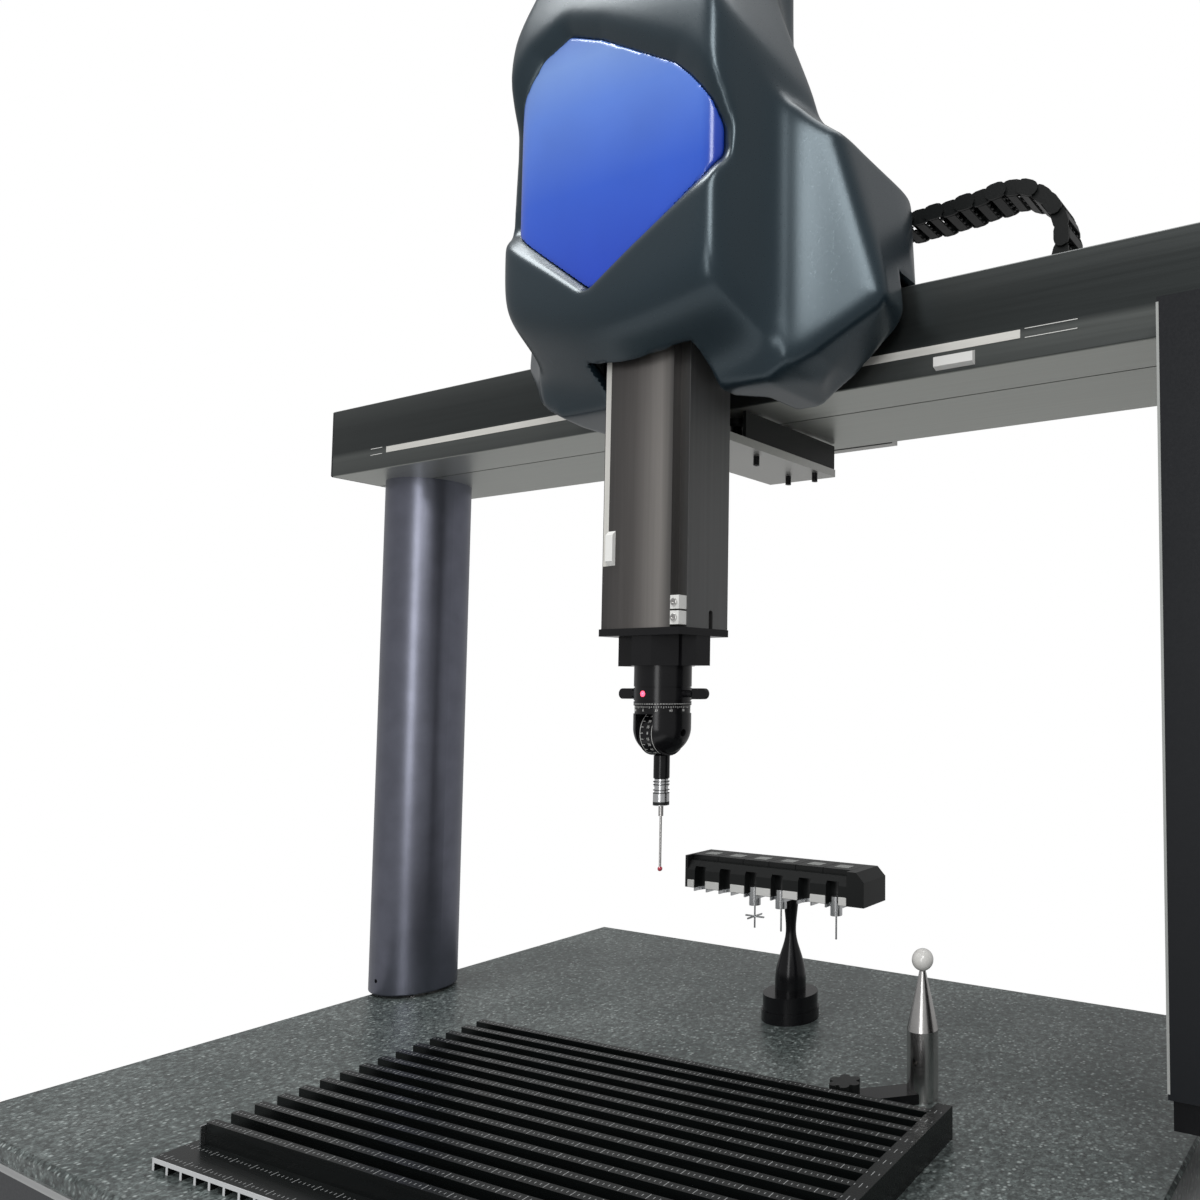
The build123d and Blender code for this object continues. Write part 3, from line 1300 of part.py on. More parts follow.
# Stylus change rack
rack_base_z = table_height
with BuildPart() as rack_stand:
    with BuildSketch(Plane.XZ.offset(-rack_y)):
        with BuildLine():
            Polyline((rack_x, rack_base_z), (rack_x + rack_foot_radius, rack_base_z),
                     (rack_x + rack_foot_radius, rack_base_z + rack_foot_height),
                     (rack_x + rack_foot_radius - rack_foot_step, rack_base_z + rack_foot_height),
                     (rack_x + rack_foot_radius - rack_foot_step, rack_base_z + rack_foot_top),
                     (rack_x, rack_base_z + rack_foot_top), close=True)
        make_face()
    revolve(axis=Axis((rack_x, rack_y, 0), (0, 0, 1)))
    with BuildSketch(Plane.XZ.offset(-rack_y)):
        with BuildLine():
            base_line = Line((rack_x, rack_base_z + rack_foot_top),
                             (rack_x + rack_shoulder_radius, rack_base_z + rack_foot_top))
            shoulder = Line(base_line @ 1, (rack_x + rack_shoulder_radius, rack_base_z + rack_shoulder_top))
            neck = Spline(shoulder @ 1, (rack_x + rack_neck_radius, rack_base_z + rack_neck_low),
                          (rack_x + rack_neck_top_radius, rack_base_z + rack_low),
                          tangents=((0, 1), (0, 1)))
            Polyline(neck @ 1, (rack_x, rack_base_z + rack_low), base_line @ 0)
        make_face()
    revolve(axis=Axis((rack_x, rack_y, 0), (0, 0, 1)))
save(rack_stand, "rack_stand")

bays_x0 = rack_left + rack_cap
bays_x1 = bays_x0 + rack_bays * rack_bay
rack_back = rack_front + rack_depth
rack_z0 = table_height + rack_low
rack_z1 = table_height + rack_high
lid_z = rack_z1 - rack_lid_height


def bay_middle(i):
    """Middle of one bay along X."""
    return bays_x0 + (i + 1 / 2) * rack_bay


with BuildPart() as rack_body:
    with BuildSketch(Plane.YZ.offset(bays_x0)):
        with BuildLine():
            Polyline((rack_front, rack_z0), (rack_back, rack_z0), (rack_back, lid_z),
                     (rack_front + rack_bevel / 2, lid_z), (rack_front, lid_z - rack_bevel), close=True)
        make_face()
    extrude(amount=bays_x1 - bays_x0)
    for i in range(rack_bays):
        rod_z(bay_middle(i), rack_front + port_depth, rack_z0 - overrun, lid_z - rack_lid_height, port_radius,
              mode=Mode.SUBTRACT)
        block(bay_middle(i) - port_radius, bay_middle(i) + port_radius, rack_front - overrun,
              rack_front + port_depth, rack_z0 - overrun, lid_z - rack_lid_height, mode=Mode.SUBTRACT)
save(rack_body, "rack_body")

with BuildPart() as rack_end_caps:
    block(bays_x1, bays_x1 + rack_end, rack_front, rack_back, rack_z0, rack_z1)
    chamfer(rack_end_caps.edges().filter_by(Axis.Y).group_by(Axis.X)[-1].group_by(Axis.Z)[-1], rack_bevel)
    block(rack_left, bays_x0, rack_front, rack_back, rack_z0, rack_z1)
save(rack_end_caps, "rack_end_caps")

with BuildPart() as rack_lids:
    for i in range(rack_bays):
        x0 = bays_x0 + i * rack_bay + rack_lid_gap / 2
        block(x0, x0 + rack_bay - rack_lid_gap, rack_front + rack_bevel, rack_back, lid_z, rack_z1)
save(rack_lids, "rack_lids")

docked_top = rack_z0 + port_radius
with BuildPart() as docked_modules:
    for i in range(rack_bays):
        with BuildSketch(Plane.XY.offset(rack_z0 - insert_height)):
            with Locations((bay_middle(i), rack_front + port_depth)):
                Rectangle(2 * insert_radius, 2 * port_radius)
                Circle(insert_bore, mode=Mode.SUBTRACT)
            with Locations((bay_middle(i), rack_front + port_depth - insert_radius)):
                Rectangle(2 * port_radius, 2 * insert_radius, mode=Mode.SUBTRACT)
        extrude(amount=insert_height)
    for i in docked_bays:
        x, y = bay_middle(i), rack_front + port_depth
        rod_z(x, y, docked_top - docked_height, docked_top, docked_radius)
        rod_z(x, y, docked_top - docked_height - docked_stem_length, docked_top - docked_height, stem_radius)
    star_x = bay_middle(docked_bays[0])
    star_z = docked_top - docked_height - docked_stem_length / 2
    rod_x(star_x - docked_stem_length / 2, star_x + docked_stem_length / 2, rack_front + port_depth,
          star_z, stem_radius)
    rod_y(star_x, rack_front + port_depth - docked_stem_length / 2, rack_front + port_depth + docked_stem_length / 2,
          star_z, stem_radius)
save(docked_modules, "docked_modules")

# Reference sphere on its post, with its clamp arm and star knob
with BuildPart() as sphere_post:
    with BuildSketch(Plane.XZ.offset(-sphere_y)):
        with BuildLine():
            Polyline((sphere_x, table_height), (sphere_x + sphere_post_radius, table_height),
                     (sphere_x + sphere_post_radius, table_height + sphere_post_height),
                     (sphere_x + sphere_neck_radius, table_height + sphere_cone_top),
                     (sphere_x, table_height + sphere_cone_top), close=True)
        make_face()
    revolve(axis=Axis((sphere_x, sphere_y, 0), (0, 0, 1)))
    rod_y(sphere_x, sphere_y - sphere_post_radius - overrun, sphere_y, table_height + sphere_hole_rise,
          sphere_hole_radius, mode=Mode.SUBTRACT)
save(sphere_post, "sphere_post")

with BuildPart() as reference_sphere:
    with Locations((sphere_x, sphere_y, table_height + sphere_centre)):
        Sphere(sphere_radius)
    block(sphere_x - sphere_radius, sphere_x + sphere_radius, sphere_y - sphere_radius, sphere_y + sphere_radius,
          table_height, table_height + sphere_cone_top, mode=Mode.SUBTRACT)
save(reference_sphere, "reference_sphere")

arm_dir = Vector(math.cos(math.radians(arm_turn)), math.sin(math.radians(arm_turn)), 0)
sphere_base = Vector(sphere_x, sphere_y, table_height)
knob_place = sphere_base + arm_dir * knob_reach
with BuildPart() as sphere_arm:
    arm_middle = sphere_base + arm_dir * (arm_length / 2) + Vector(0, 0, arm_height / 2)
    with Locations(Location(arm_middle, (0, 0, arm_turn))):
        Box(arm_length, arm_width, arm_height)
    rod_z(sphere_x, sphere_y, table_height, table_height + arm_height, sphere_post_radius + fit_gap,
          mode=Mode.SUBTRACT)
    rod_z(knob_place.X, knob_place.Y, table_height, table_height + arm_height, knob_stem_radius + fit_gap,
          mode=Mode.SUBTRACT)
save(sphere_arm, "sphere_arm")

knob_z = table_height + arm_height + running_gap
with BuildPart() as sphere_knob:
    rod_z(knob_place.X, knob_place.Y, table_height + running_gap, knob_z, knob_stem_radius)
    with BuildSketch(Plane.XY.offset(knob_z)):
        with Locations((knob_place.X, knob_place.Y)):
            Circle(knob_radius - knob_lobe_radius)
            with PolarLocations(knob_radius - knob_lobe_radius, knob_lobes):
                Circle(knob_lobe_radius)
    extrude(amount=knob_height)
save(sphere_knob, "sphere_knob")
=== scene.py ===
"""Looks of the bridge coordinate measuring machine, in metres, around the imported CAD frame."""

import math

import bmesh
import bpy
import numpy as np
from mathutils import Matrix, Vector


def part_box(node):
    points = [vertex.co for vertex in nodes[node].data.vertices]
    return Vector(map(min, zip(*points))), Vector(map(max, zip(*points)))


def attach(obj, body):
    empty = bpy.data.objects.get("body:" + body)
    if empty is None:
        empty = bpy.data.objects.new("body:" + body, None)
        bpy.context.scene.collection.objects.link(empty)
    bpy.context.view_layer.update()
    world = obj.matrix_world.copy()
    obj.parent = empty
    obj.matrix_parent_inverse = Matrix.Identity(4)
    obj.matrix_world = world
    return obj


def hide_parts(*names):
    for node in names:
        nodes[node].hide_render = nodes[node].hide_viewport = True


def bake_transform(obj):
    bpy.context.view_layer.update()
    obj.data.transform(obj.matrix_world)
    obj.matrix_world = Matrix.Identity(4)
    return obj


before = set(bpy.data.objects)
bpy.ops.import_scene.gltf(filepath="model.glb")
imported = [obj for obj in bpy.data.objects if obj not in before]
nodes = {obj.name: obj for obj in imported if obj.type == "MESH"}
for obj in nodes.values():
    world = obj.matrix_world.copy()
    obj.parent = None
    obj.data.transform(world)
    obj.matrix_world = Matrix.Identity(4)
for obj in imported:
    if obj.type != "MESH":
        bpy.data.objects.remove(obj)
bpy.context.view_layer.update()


# Materials

class Surface:
    """A procedural material: one principled shader and the nodes that feed it."""

    def __init__(self, name, **sockets):
        self.material = bpy.data.materials.new(name)
        self.material.use_nodes = True
        self.nodes = self.material.node_tree.nodes
        self.links = self.material.node_tree.links
        self.shader = self.nodes["Principled BSDF"]
        for socket, value in sockets.items():
            self.set(socket.replace("_", " "), value)
        self.place = self.nodes.new("ShaderNodeTexCoord").outputs["Object"]

    def set(self, socket, value):
        """Put a constant on the shader; a colour may be given as three numbers."""
        if hasattr(value, "__len__") and len(value) == 3 and "Color" in socket:
            value = (*value, 1)
        self.shader.inputs[socket].default_value = value

    def node(self, kind, inputs=None, **settings):
        """A node with its settings and its inputs, which may be links or constants."""
        made = self.nodes.new("ShaderNode" + kind)
        for key, value in settings.items():
            setattr(made, key, value)
        for key, value in (inputs or {}).items():
            if hasattr(value, "links"):
                self.links.new(value, made.inputs[key])
            else:
                made.inputs[key].default_value = value
        return made

    def stretched(self, scale):
        """Object coordinates stretched by a scale along each axis."""
        return self.node("Mapping", {"Vector": self.place, "Scale": scale}).outputs["Vector"]

    def noise(self, scale, detail=3.0, stretch=(1, 1, 1)):
        """Soft noise with a value from 0 to 1."""
        made = self.node("TexNoise", {"Vector": self.stretched(stretch), "Scale": scale, "Detail": detail})
        return made.outputs["Fac"]

    def ramp(self, value, stops):
        """Colours or greys along a value from 0 to 1."""
        made = self.node("ValToRGB", {"Fac": value})
        elements = made.color_ramp.elements
        while len(elements) < len(stops):
            elements.new(0.5)
        for element, (where, colour) in zip(elements, stops):
            element.position = where
            element.color = (*colour, 1) if hasattr(colour, "__len__") else (colour, colour, colour, 1)
        return made.outputs["Color"]

    def mix(self, share, first, second, blend="MIX"):
        """Two colours mixed by a share."""
        made = self.node("Mix", data_type="RGBA", blend_type=blend)
        for key, value in ((0, share), (6, first), (7, second)):
            if hasattr(value, "links"):
                self.links.new(value, made.inputs[key])
            elif hasattr(value, "__len__"):
                made.inputs[key].default_value = (*value, 1)
            else:
                made.inputs[key].default_value = value
        return made.outputs[2]

    def feed(self, socket, value):
        """Link a value to the shader."""
        self.links.new(value, self.shader.inputs[socket])

    def bump(self, height, strength, distance=0.001):
        """Bump from a height, added to any bump that is there."""
        made = self.node("Bump", {"Height": height, "Strength": strength, "Distance": distance})
        old = self.shader.inputs["Normal"]
        if old.is_linked:
            self.links.new(old.links[0].from_socket, made.inputs["Normal"])
        self.feed("Normal", made.outputs["Normal"])


LINES_X = (0.02, 1.0, 1.0)
LINES_Z = (1.0, 1.0, 0.02)
LINE_SCALE = 260.0
LINE_DETAIL = 4.0
LINE_SPREAD = 0.05


def granite():
    """Polished grey-green granite with fine pale and dark grains."""
    stone = Surface("granite", Specular_IOR_Level=0.45)
    cloud = stone.noise(11.0, 6.0)
    mottle = stone.noise(150.0, 4.0)
    grain = stone.node("TexVoronoi", {"Vector": stone.place, "Scale": 560.0})
    fleck = stone.node("TexVoronoi", {"Vector": stone.place, "Scale": 250.0})
    base = stone.ramp(cloud, [(0.3, (0.050, 0.062, 0.060)), (0.7, (0.090, 0.105, 0.102))])
    patch = stone.ramp(mottle, [(0.35, 0.55), (0.5, 0.95), (0.65, 1.55)])
    shade = stone.ramp(grain.outputs["Color"], [(0.0, 0.35), (0.5, 0.90), (1.0, 1.8)])
    speckled = stone.mix(1.0, stone.mix(1.0, base, patch, "MULTIPLY"), shade, "MULTIPLY")
    chosen = stone.ramp(fleck.outputs["Color"], [(0.60, 0.0), (0.80, 1.0)])
    near = stone.ramp(fleck.outputs["Distance"], [(0.10, 1.0), (0.50, 0.0)])
    pale = stone.mix(1.0, chosen, near, "MULTIPLY")
    stone.feed("Base Color", stone.mix(pale, speckled, (0.34, 0.38, 0.37)))
    stone.feed("Roughness", stone.ramp(grain.outputs["Color"], [(0.0, 0.26), (1.0, 0.42)]))
    stone.bump(grain.outputs["Distance"], 0.06, 0.0003)
    return stone.material


def brushed(name, colour, roughness, metallic, stretch, depth=0.12):
    """Metal with fine lines along the axis whose stretch is small."""
    metal = Surface(name, Metallic=metallic)
    lines = metal.noise(LINE_SCALE, LINE_DETAIL, stretch)
    cloud = metal.noise(7.0, 3.0)
    low = tuple(c * (1 - depth) for c in colour)
    high = tuple(c * (1 + depth) for c in colour)
    streaked = metal.ramp(lines, [(0.3, low), (0.7, high)])
    metal.feed("Base Color", metal.mix(0.5, streaked, metal.ramp(cloud, [(0.3, low), (0.7, high)])))
    rough = [(0.2, roughness - LINE_SPREAD), (0.8, roughness + LINE_SPREAD)]
    metal.feed("Roughness", metal.ramp(lines, rough))
    metal.bump(lines, 0.08, 0.0002)
    return metal.material


def turned(name, colour, roughness, metallic, specular=0.5):
    """Lathe-turned metal: faint rings across its axis and hardly any speckle."""
    metal = Surface(name, Metallic=metallic, Specular_IOR_Level=specular)
    rings = metal.noise(900.0, 2.0, (0.03, 0.03, 1.0))
    cloud = metal.noise(40.0, 2.0)
    low = tuple(c * 0.93 for c in colour)
    high = tuple(c * 1.07 for c in colour)
    metal.feed("Base Color", metal.ramp(cloud, [(0.3, low), (0.7, high)]))
    metal.feed("Roughness", metal.ramp(rings, [(0.2, roughness - 0.02), (0.8, roughness + 0.03)]))
    metal.bump(rings, 0.03, 0.0001)
    return metal.material


def quill_finish(name, left, right):
    """Anodised quill with painted light across it: painted shade at its left edge and a painted highlight
    band towards the corner that faces the light.
    """
    metal = Surface(name, Metallic=0.8)
    lines = metal.noise(LINE_SCALE, LINE_DETAIL, LINES_Z)
    across = metal.node("SeparateXYZ", {"Vector": metal.place}).outputs["X"]
    share = metal.node("MapRange", {"Value": across, "From Min": left, "From Max": right}).outputs["Result"]
    # Painted light across the quill: shade at the left, a highlight band, darker again, then a lighter corner
    # edge.
    tint = metal.ramp(share, [(0.0, (0.085, 0.081, 0.080)), (0.40, (0.130, 0.122, 0.118)),
                              (0.74, (0.330, 0.312, 0.296)), (0.88, (0.120, 0.116, 0.112)),
                              (0.985, (0.085, 0.085, 0.085)), (1.0, (0.170, 0.172, 0.172))])
    metal.feed("Base Color", metal.mix(1.0, tint, metal.ramp(lines, [(0.3, 0.93), (0.7, 1.07)]), "MULTIPLY"))
    metal.feed("Roughness", metal.ramp(lines, [(0.2, 0.34), (0.8, 0.42)]))
    metal.bump(lines, 0.05, 0.0002)
    return metal.material


def beam_finish(name, low, high):
    """Dark anodised extrusion with painted light: a painted reflection, lighter underneath and along its
    lower edge, and painted shade over the rest of its front.
    """
    metal = Surface(name, Metallic=0.8)
    lines = metal.noise(LINE_SCALE, LINE_DETAIL, LINES_X)
    height = metal.node("SeparateXYZ", {"Vector": metal.place}).outputs["Z"]
    share = metal.node("MapRange", {"Value": height, "From Min": low, "From Max": high}).outputs["Result"]
    # Painted light by height: a painted reflection at the underside and lower edge, painted shade over the
    # front, easing a little at the top.
    tint = metal.ramp(share, [(0.0, (0.430, 0.445, 0.415)), (0.012, (0.085, 0.092, 0.090)),
                              (0.26, (0.110, 0.118, 0.114)), (0.34, (0.036, 0.041, 0.041)),
                              (0.70, (0.040, 0.045, 0.045)), (1.0, (0.075, 0.082, 0.081))])
    metal.feed("Base Color", metal.mix(1.0, tint, metal.ramp(lines, [(0.3, 0.94), (0.7, 1.06)]), "MULTIPLY"))
    metal.feed("Roughness", metal.ramp(lines, [(0.2, 0.30), (0.8, 0.38)]))
    metal.bump(lines, 0.05, 0.0002)
    return metal.material


TICK_PITCH = 0.0050
LONG_TICK_PITCH = 0.0250
TICK_WIDTH = 0.12
TICK_REACH = 0.06
LONG_TICK_MORE = 0.10
SAWN_DEPTH = 0.0003


def sawn_plate(name, colour, size, turn, middle, first_fin, pitch, top, row_share):
    """Black anodised grooved plate, bare metal at its sawn front, with rows of ruler ticks at one height."""
    metal = Surface(name, Specular_IOR_Level=0.3)
    own = metal.node("VectorRotate", {"Vector": metal.place, "Center": middle, "Angle": -turn},
                     rotation_type="Z_AXIS").outputs["Vector"]
    parts = metal.node("SeparateXYZ", {"Vector": own}).outputs

    def number(operation, *values):
        return metal.node("Math", dict(enumerate(values)), operation=operation).outputs[0]

    bare = number("LESS_THAN", parts["Y"], middle[1] - size[1] / 2 + SAWN_DEPTH)
    flat = number("GREATER_THAN", parts["Z"], top - 0.0002)
    row = number("FRACT", number("DIVIDE", number("SUBTRACT", parts["Y"], first_fin), pitch))
    along = number("FRACT", number("DIVIDE", parts["X"], TICK_PITCH))
    along_five = number("FRACT", number("DIVIDE", parts["X"], LONG_TICK_PITCH))
    longer = number("LESS_THAN", along_five, TICK_PITCH / LONG_TICK_PITCH)
    reach = number("MULTIPLY_ADD", longer, LONG_TICK_MORE, TICK_REACH)
    in_row = number("LESS_THAN", number("ABSOLUTE", number("SUBTRACT", row, row_share)), reach)
    tick = number("MULTIPLY", number("LESS_THAN", along, TICK_WIDTH), number("MULTIPLY", in_row, flat))
    fine = metal.noise(LINE_SCALE, LINE_DETAIL, LINES_X)
    black = metal.ramp(fine, [(0.3, tuple(c * 0.85 for c in colour)), (0.7, tuple(c * 1.15 for c in colour))])
    marked = metal.mix(tick, black, (0.30, 0.31, 0.31))
    metal.feed("Base Color", metal.mix(bare, marked, (0.66, 0.67, 0.68)))
    metal.feed("Roughness", metal.ramp(fine, [(0.2, 0.22), (0.8, 0.32)]))
    return metal.material


def moulded_plastic(name, colour, roughness, grain=900.0, strength=0.06, coat=0.0, specular=0.5,
                    shine=(1.0, 1.0, 1.0)):
    """Moulded plastic with a fine even grain; the colour called shine tints its highlights."""
    plastic = Surface(name, Coat_Weight=coat, Coat_Roughness=0.25, Specular_IOR_Level=specular)
    plastic.shader.inputs["Specular Tint"].default_value = (*shine, 1)
    cloud = plastic.noise(5.0, 4.0)
    fine = plastic.noise(grain, 2.0)
    low = tuple(c * 0.9 for c in colour)
    high = tuple(c * 1.1 for c in colour)
    plastic.feed("Base Color", plastic.ramp(cloud, [(0.3, low), (0.7, high)]))
    plastic.feed("Roughness", plastic.ramp(fine, [(0.2, roughness - 0.04), (0.8, roughness + 0.05)]))
    plastic.bump(fine, strength, 0.0003)
    return plastic.material


# Where the window's painted flank shade starts and where it is full, behind the sheet's front.
FLANK_SHADE_START = 0.0010
FLANK_SHADE_END = 0.0060


def window_blue(low, high, front):
    """Blue sheet with painted light: a painted highlight towards its top and painted shade where it wraps
    round the corners onto the flanks.
    """
    sheet = Surface("window_blue", Roughness=0.26, Coat_Weight=0.15, Coat_Roughness=0.10)
    height = sheet.node("SeparateXYZ", {"Vector": sheet.place}).outputs["Z"]
    rise = sheet.node("MapRange", {"Value": height, "From Min": low, "From Max": high}).outputs["Result"]
    # Painted highlight: the blue grows lighter towards the sheet's top.
    tint = sheet.ramp(rise, [(0.0, (0.008, 0.045, 0.45)), (0.45, (0.022, 0.090, 0.52)),
                             (0.8, (0.085, 0.190, 0.60)), (1.0, (0.15, 0.27, 0.62))])
    depth = sheet.node("SeparateXYZ", {"Vector": sheet.place}).outputs["Y"]
    wrap = {"Value": depth, "From Min": front + FLANK_SHADE_START, "From Max": front + FLANK_SHADE_END}
    flank_shade = sheet.node("MapRange", wrap).outputs["Result"]
    # Painted shade on the parts of the sheet that wrap round onto the flanks.
    tint = sheet.mix(1.0, tint, sheet.ramp(flank_shade, [(0.0, 1.0), (1.0, (0.35, 0.45, 0.75))]), "MULTIPLY")
    cloud = sheet.noise(14.0, 2.0)
    sheet.feed("Base Color", sheet.mix(1.0, tint, sheet.ramp(cloud, [(0.3, 0.95), (0.7, 1.05)]), "MULTIPLY"))
    sheet.feed("Roughness", sheet.ramp(sheet.noise(220.0), [(0.3, 0.20), (0.7, 0.26)]))
    return sheet.material


def clear_gem(name, colour, glow=0.0):
    """Ruby or lamp lens."""
    gem = Surface(name, Roughness=0.05, Coat_Weight=1.0, Specular_IOR_Level=0.8)
    cloud = gem.noise(900.0, 2.0)
    gem.feed("Base Color", gem.ramp(cloud, [(0.3, tuple(c * 0.85 for c in colour)), (0.7, colour)]))
    if glow:
        gem.set("Emission Color", colour)
        gem.set("Emission Strength", glow)
    return gem.material


PLATE_SIZE = (0.545, 0.306)
PLATE_TURN = math.radians(3.0)
PLATE_MIDDLE = (-0.014, -0.176, 0.8)
FIRST_FIN = 0.030
FIRST_FIN_Y = PLATE_MIDDLE[1] - PLATE_SIZE[1] / 2 + FIRST_FIN
FIN_PITCH = 0.0183
FIN_TICKS = 0.19
FLOOR_TICKS = 0.66
# Heights of the window's painted highlight, and the sheet's front, where its painted flank shade begins.
WINDOW_SPAN = (1.49, 1.70)
WINDOW_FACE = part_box("window_panel")[0].y + 0.0072

materials = {
    "granite": granite(),
    "beam": beam_finish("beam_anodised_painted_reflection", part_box("beam")[0].z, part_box("beam")[1].z),
    "column": turned("column_anodised", (0.190, 0.198, 0.245), 0.33, 1.0),
    "quill": quill_finish("quill_anodised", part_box("quill")[0].x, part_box("quill")[1].x),
    "cover": moulded_plastic("cover_plastic", (0.008, 0.0160, 0.0225), 0.30, 700.0, 0.03, 0.15, 0.6,
                             (0.72, 0.90, 1.0)),
    "window": window_blue(*WINDOW_SPAN, WINDOW_FACE),
    "leg": moulded_plastic("leg_panel", (0.005, 0.006, 0.008), 0.34, 500.0, 0.03, 0.0, 0.35),
    "panel": moulded_plastic("panel_paint", (0.012, 0.014, 0.017), 0.38, 500.0, 0.08),
    "frame": moulded_plastic("frame_paint", (0.045, 0.050, 0.055), 0.42, 400.0, 0.12),
    "chain": moulded_plastic("chain_plastic", (0.006, 0.007, 0.007), 0.36, 600.0, 0.08, 0.0, 0.3),
    "black": moulded_plastic("black_plastic", (0.010, 0.011, 0.011), 0.40, 800.0, 0.06, 0.0, 0.35),
    "rubber": moulded_plastic("rubber", (0.014, 0.014, 0.014), 0.70, 500.0, 0.25),
    "white": moulded_plastic("white_plastic", (0.72, 0.72, 0.70), 0.42, 700.0, 0.06),
    "bright": brushed("bright_aluminium", (0.62, 0.63, 0.63), 0.34, 1.0, LINES_X),
    "bright_z": brushed("bright_aluminium_upright", (0.60, 0.61, 0.61), 0.32, 1.0, LINES_Z),
    "steel": turned("turned_steel", (0.56, 0.55, 0.54), 0.24, 1.0),
    "bracket": brushed("bracket_aluminium", (0.52, 0.52, 0.50), 0.38, 0.9, LINES_X, 0.06),
    "tape": brushed("scale_tape", (0.70, 0.69, 0.65), 0.32, 0.35, LINES_X),
    "tape_z": brushed("scale_tape_upright", (0.70, 0.69, 0.65), 0.32, 0.35, LINES_Z),
    "black_metal": turned("black_anodised", (0.007, 0.007, 0.008), 0.20, 0.2, 0.35),
    "fin_metal": sawn_plate("black_fins", (0.004, 0.005, 0.005), PLATE_SIZE, PLATE_TURN, PLATE_MIDDLE,
                            FIRST_FIN_Y, FIN_PITCH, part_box("fixture_fins")[1].z, FIN_TICKS),
    "plate_metal": sawn_plate("black_plate", (0.006, 0.007, 0.007), PLATE_SIZE, PLATE_TURN, PLATE_MIDDLE,
                              FIRST_FIN_Y, FIN_PITCH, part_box("fixture_base")[1].z, FLOOR_TICKS),
    "patch": moulded_plastic("pale_patch", (0.30, 0.31, 0.30), 0.50, 700.0, 0.03),
    "silver": turned("satin_silver", (0.66, 0.67, 0.68), 0.24, 1.0),
    "mark": moulded_plastic("printed_marks", (0.62, 0.62, 0.60), 0.55, 700.0, 0.02),
    "ceramic": moulded_plastic("ceramic", (0.84, 0.83, 0.80), 0.16, 500.0, 0.01, 0.5),
    "ruby": clear_gem("ruby", (0.45, 0.01, 0.04)),
    "lamp": clear_gem("lamp", (0.9, 0.05, 0.10), 4.0),
}

finish_of_node = {
    "granite_table": "granite", "stand_frame": "frame", "stand_feet": "rubber", "stand_panels": "panel",
    "panel_trim": "bright", "y_rail": "bright", "y_saddle": "black_metal", "bridge_air_pads": "steel",
    "y_drive_wheel": "steel", "leg_base": "black_metal", "bridge_struts": "bright_z", "leg_cover": "leg",
    "beam": "beam", "beam_end_caps": "black", "x_scale": "tape", "limit_target": "white",
    "left_column": "column", "carriage_frame": "bracket", "carriage_air_pads": "black_metal",
    "carriage_motors": "black_metal", "x_drive_wheel": "steel", "quill_guides": "bright", "quill": "quill",
    "quill_end_plate": "black_metal", "z_scale": "tape_z", "scale_fittings": "white",
    "balance_cylinder": "bright_z", "balance_piston": "steel", "z_belt": "rubber",
    "z_drive_pulley": "bright", "z_idler_pulley": "bright", "front_cover": "cover", "rear_cover": "cover",
    "window_panel": "window", "chain_upper_run": "chain", "chain_lower_run": "chain", "chain_loop": "chain",
    "chain_tray": "black_metal", "head_adaptor": "black_metal", "head_body": "black_metal",
    "head_lamp": "lamp", "lock_levers": "black_metal", "head_dome": "black_metal",
    "tilt_drum": "black_metal", "probe_body": "black_metal", "stylus_module": "silver", "stylus": "steel",
    "stylus_ball": "ruby", "fixture_base": "plate_metal", "fixture_fins": "fin_metal",
    "rack_stand": "black_metal", "rack_body": "black", "rack_end_caps": "black", "rack_lids": "black",
    "docked_modules": "silver", "sphere_post": "steel", "reference_sphere": "ceramic",
    "sphere_arm": "black_metal", "sphere_knob": "black",
}
for name, finish in finish_of_node.items():
    nodes[name].data.materials.clear()
    nodes[name].data.materials.append(materials[finish])


# Moulded forms, meshed from a signed distance

SETTLE_ROUNDS = 3


def outline(points, radius):
    """Signed distance to a closed outline whose outward corners have a radius."""
    corners = [Vector(p) for p in points]
    area = sum(a.x * b.y - b.x * a.y for a, b in zip(corners, corners[1:] + corners[:1]))
    turn = 1 if area > 0 else -1
    inner = []
    for before, here, after in zip(corners[-1:] + corners[:-1], corners, corners[1:] + corners[:1]):
        first, second = (here - before).normalized(), (after - here).normalized()
        inward = Vector((-first.y, first.x)) * turn + Vector((-second.y, second.x)) * turn
        inner.append(here + inward * (radius / (1 + first.dot(second))))

    def distance(u, v):
        near = None
        inside = None
        for a, b in zip(inner, inner[1:] + inner[:1]):
            along, du, dv = b - a, u - a.x, v - a.y
            share = np.clip((du * along.x + dv * along.y) / along.length_squared, 0, 1)
            gap = (du - along.x * share) ** 2 + (dv - along.y * share) ** 2
            near = gap if near is None else np.minimum(near, gap)
            crossed = ((a.y > v) != (b.y > v)) & (du < (v - a.y) * along.x / (along.y or 1e-12))
            inside = crossed if inside is None else inside ^ crossed
        return np.where(inside, -1.0, 1.0) * np.sqrt(near) - radius

    return distance


def mirrored(half, middle):
    """An outline completed on the left of a middle line."""
    return [(middle + x, y) for x, y in half] + [(middle - x, y) for x, y in reversed(half)]


def meet(softness, *fields):
    """Where all the fields are inside, with soft edges."""
    top = fields[0]
    for field in fields[1:]:
        top = np.maximum(top, field)
    total = 0
    for field in fields:
        total = total + np.exp((field - top) / softness)
    return top + softness * np.log(total)


def join(softness, *fields):
    """Where any of the fields is inside, with a soft blend."""
    return -meet(softness, *[-field for field in fields])


def room(x, y, z, low, high):
    """Signed distance, exact near its faces, to a box between two corners."""
    sides = [np.maximum(low[i] - p, p - high[i]) for i, p in enumerate((x, y, z))]
    return np.maximum(np.maximum(sides[0], sides[1]), sides[2])


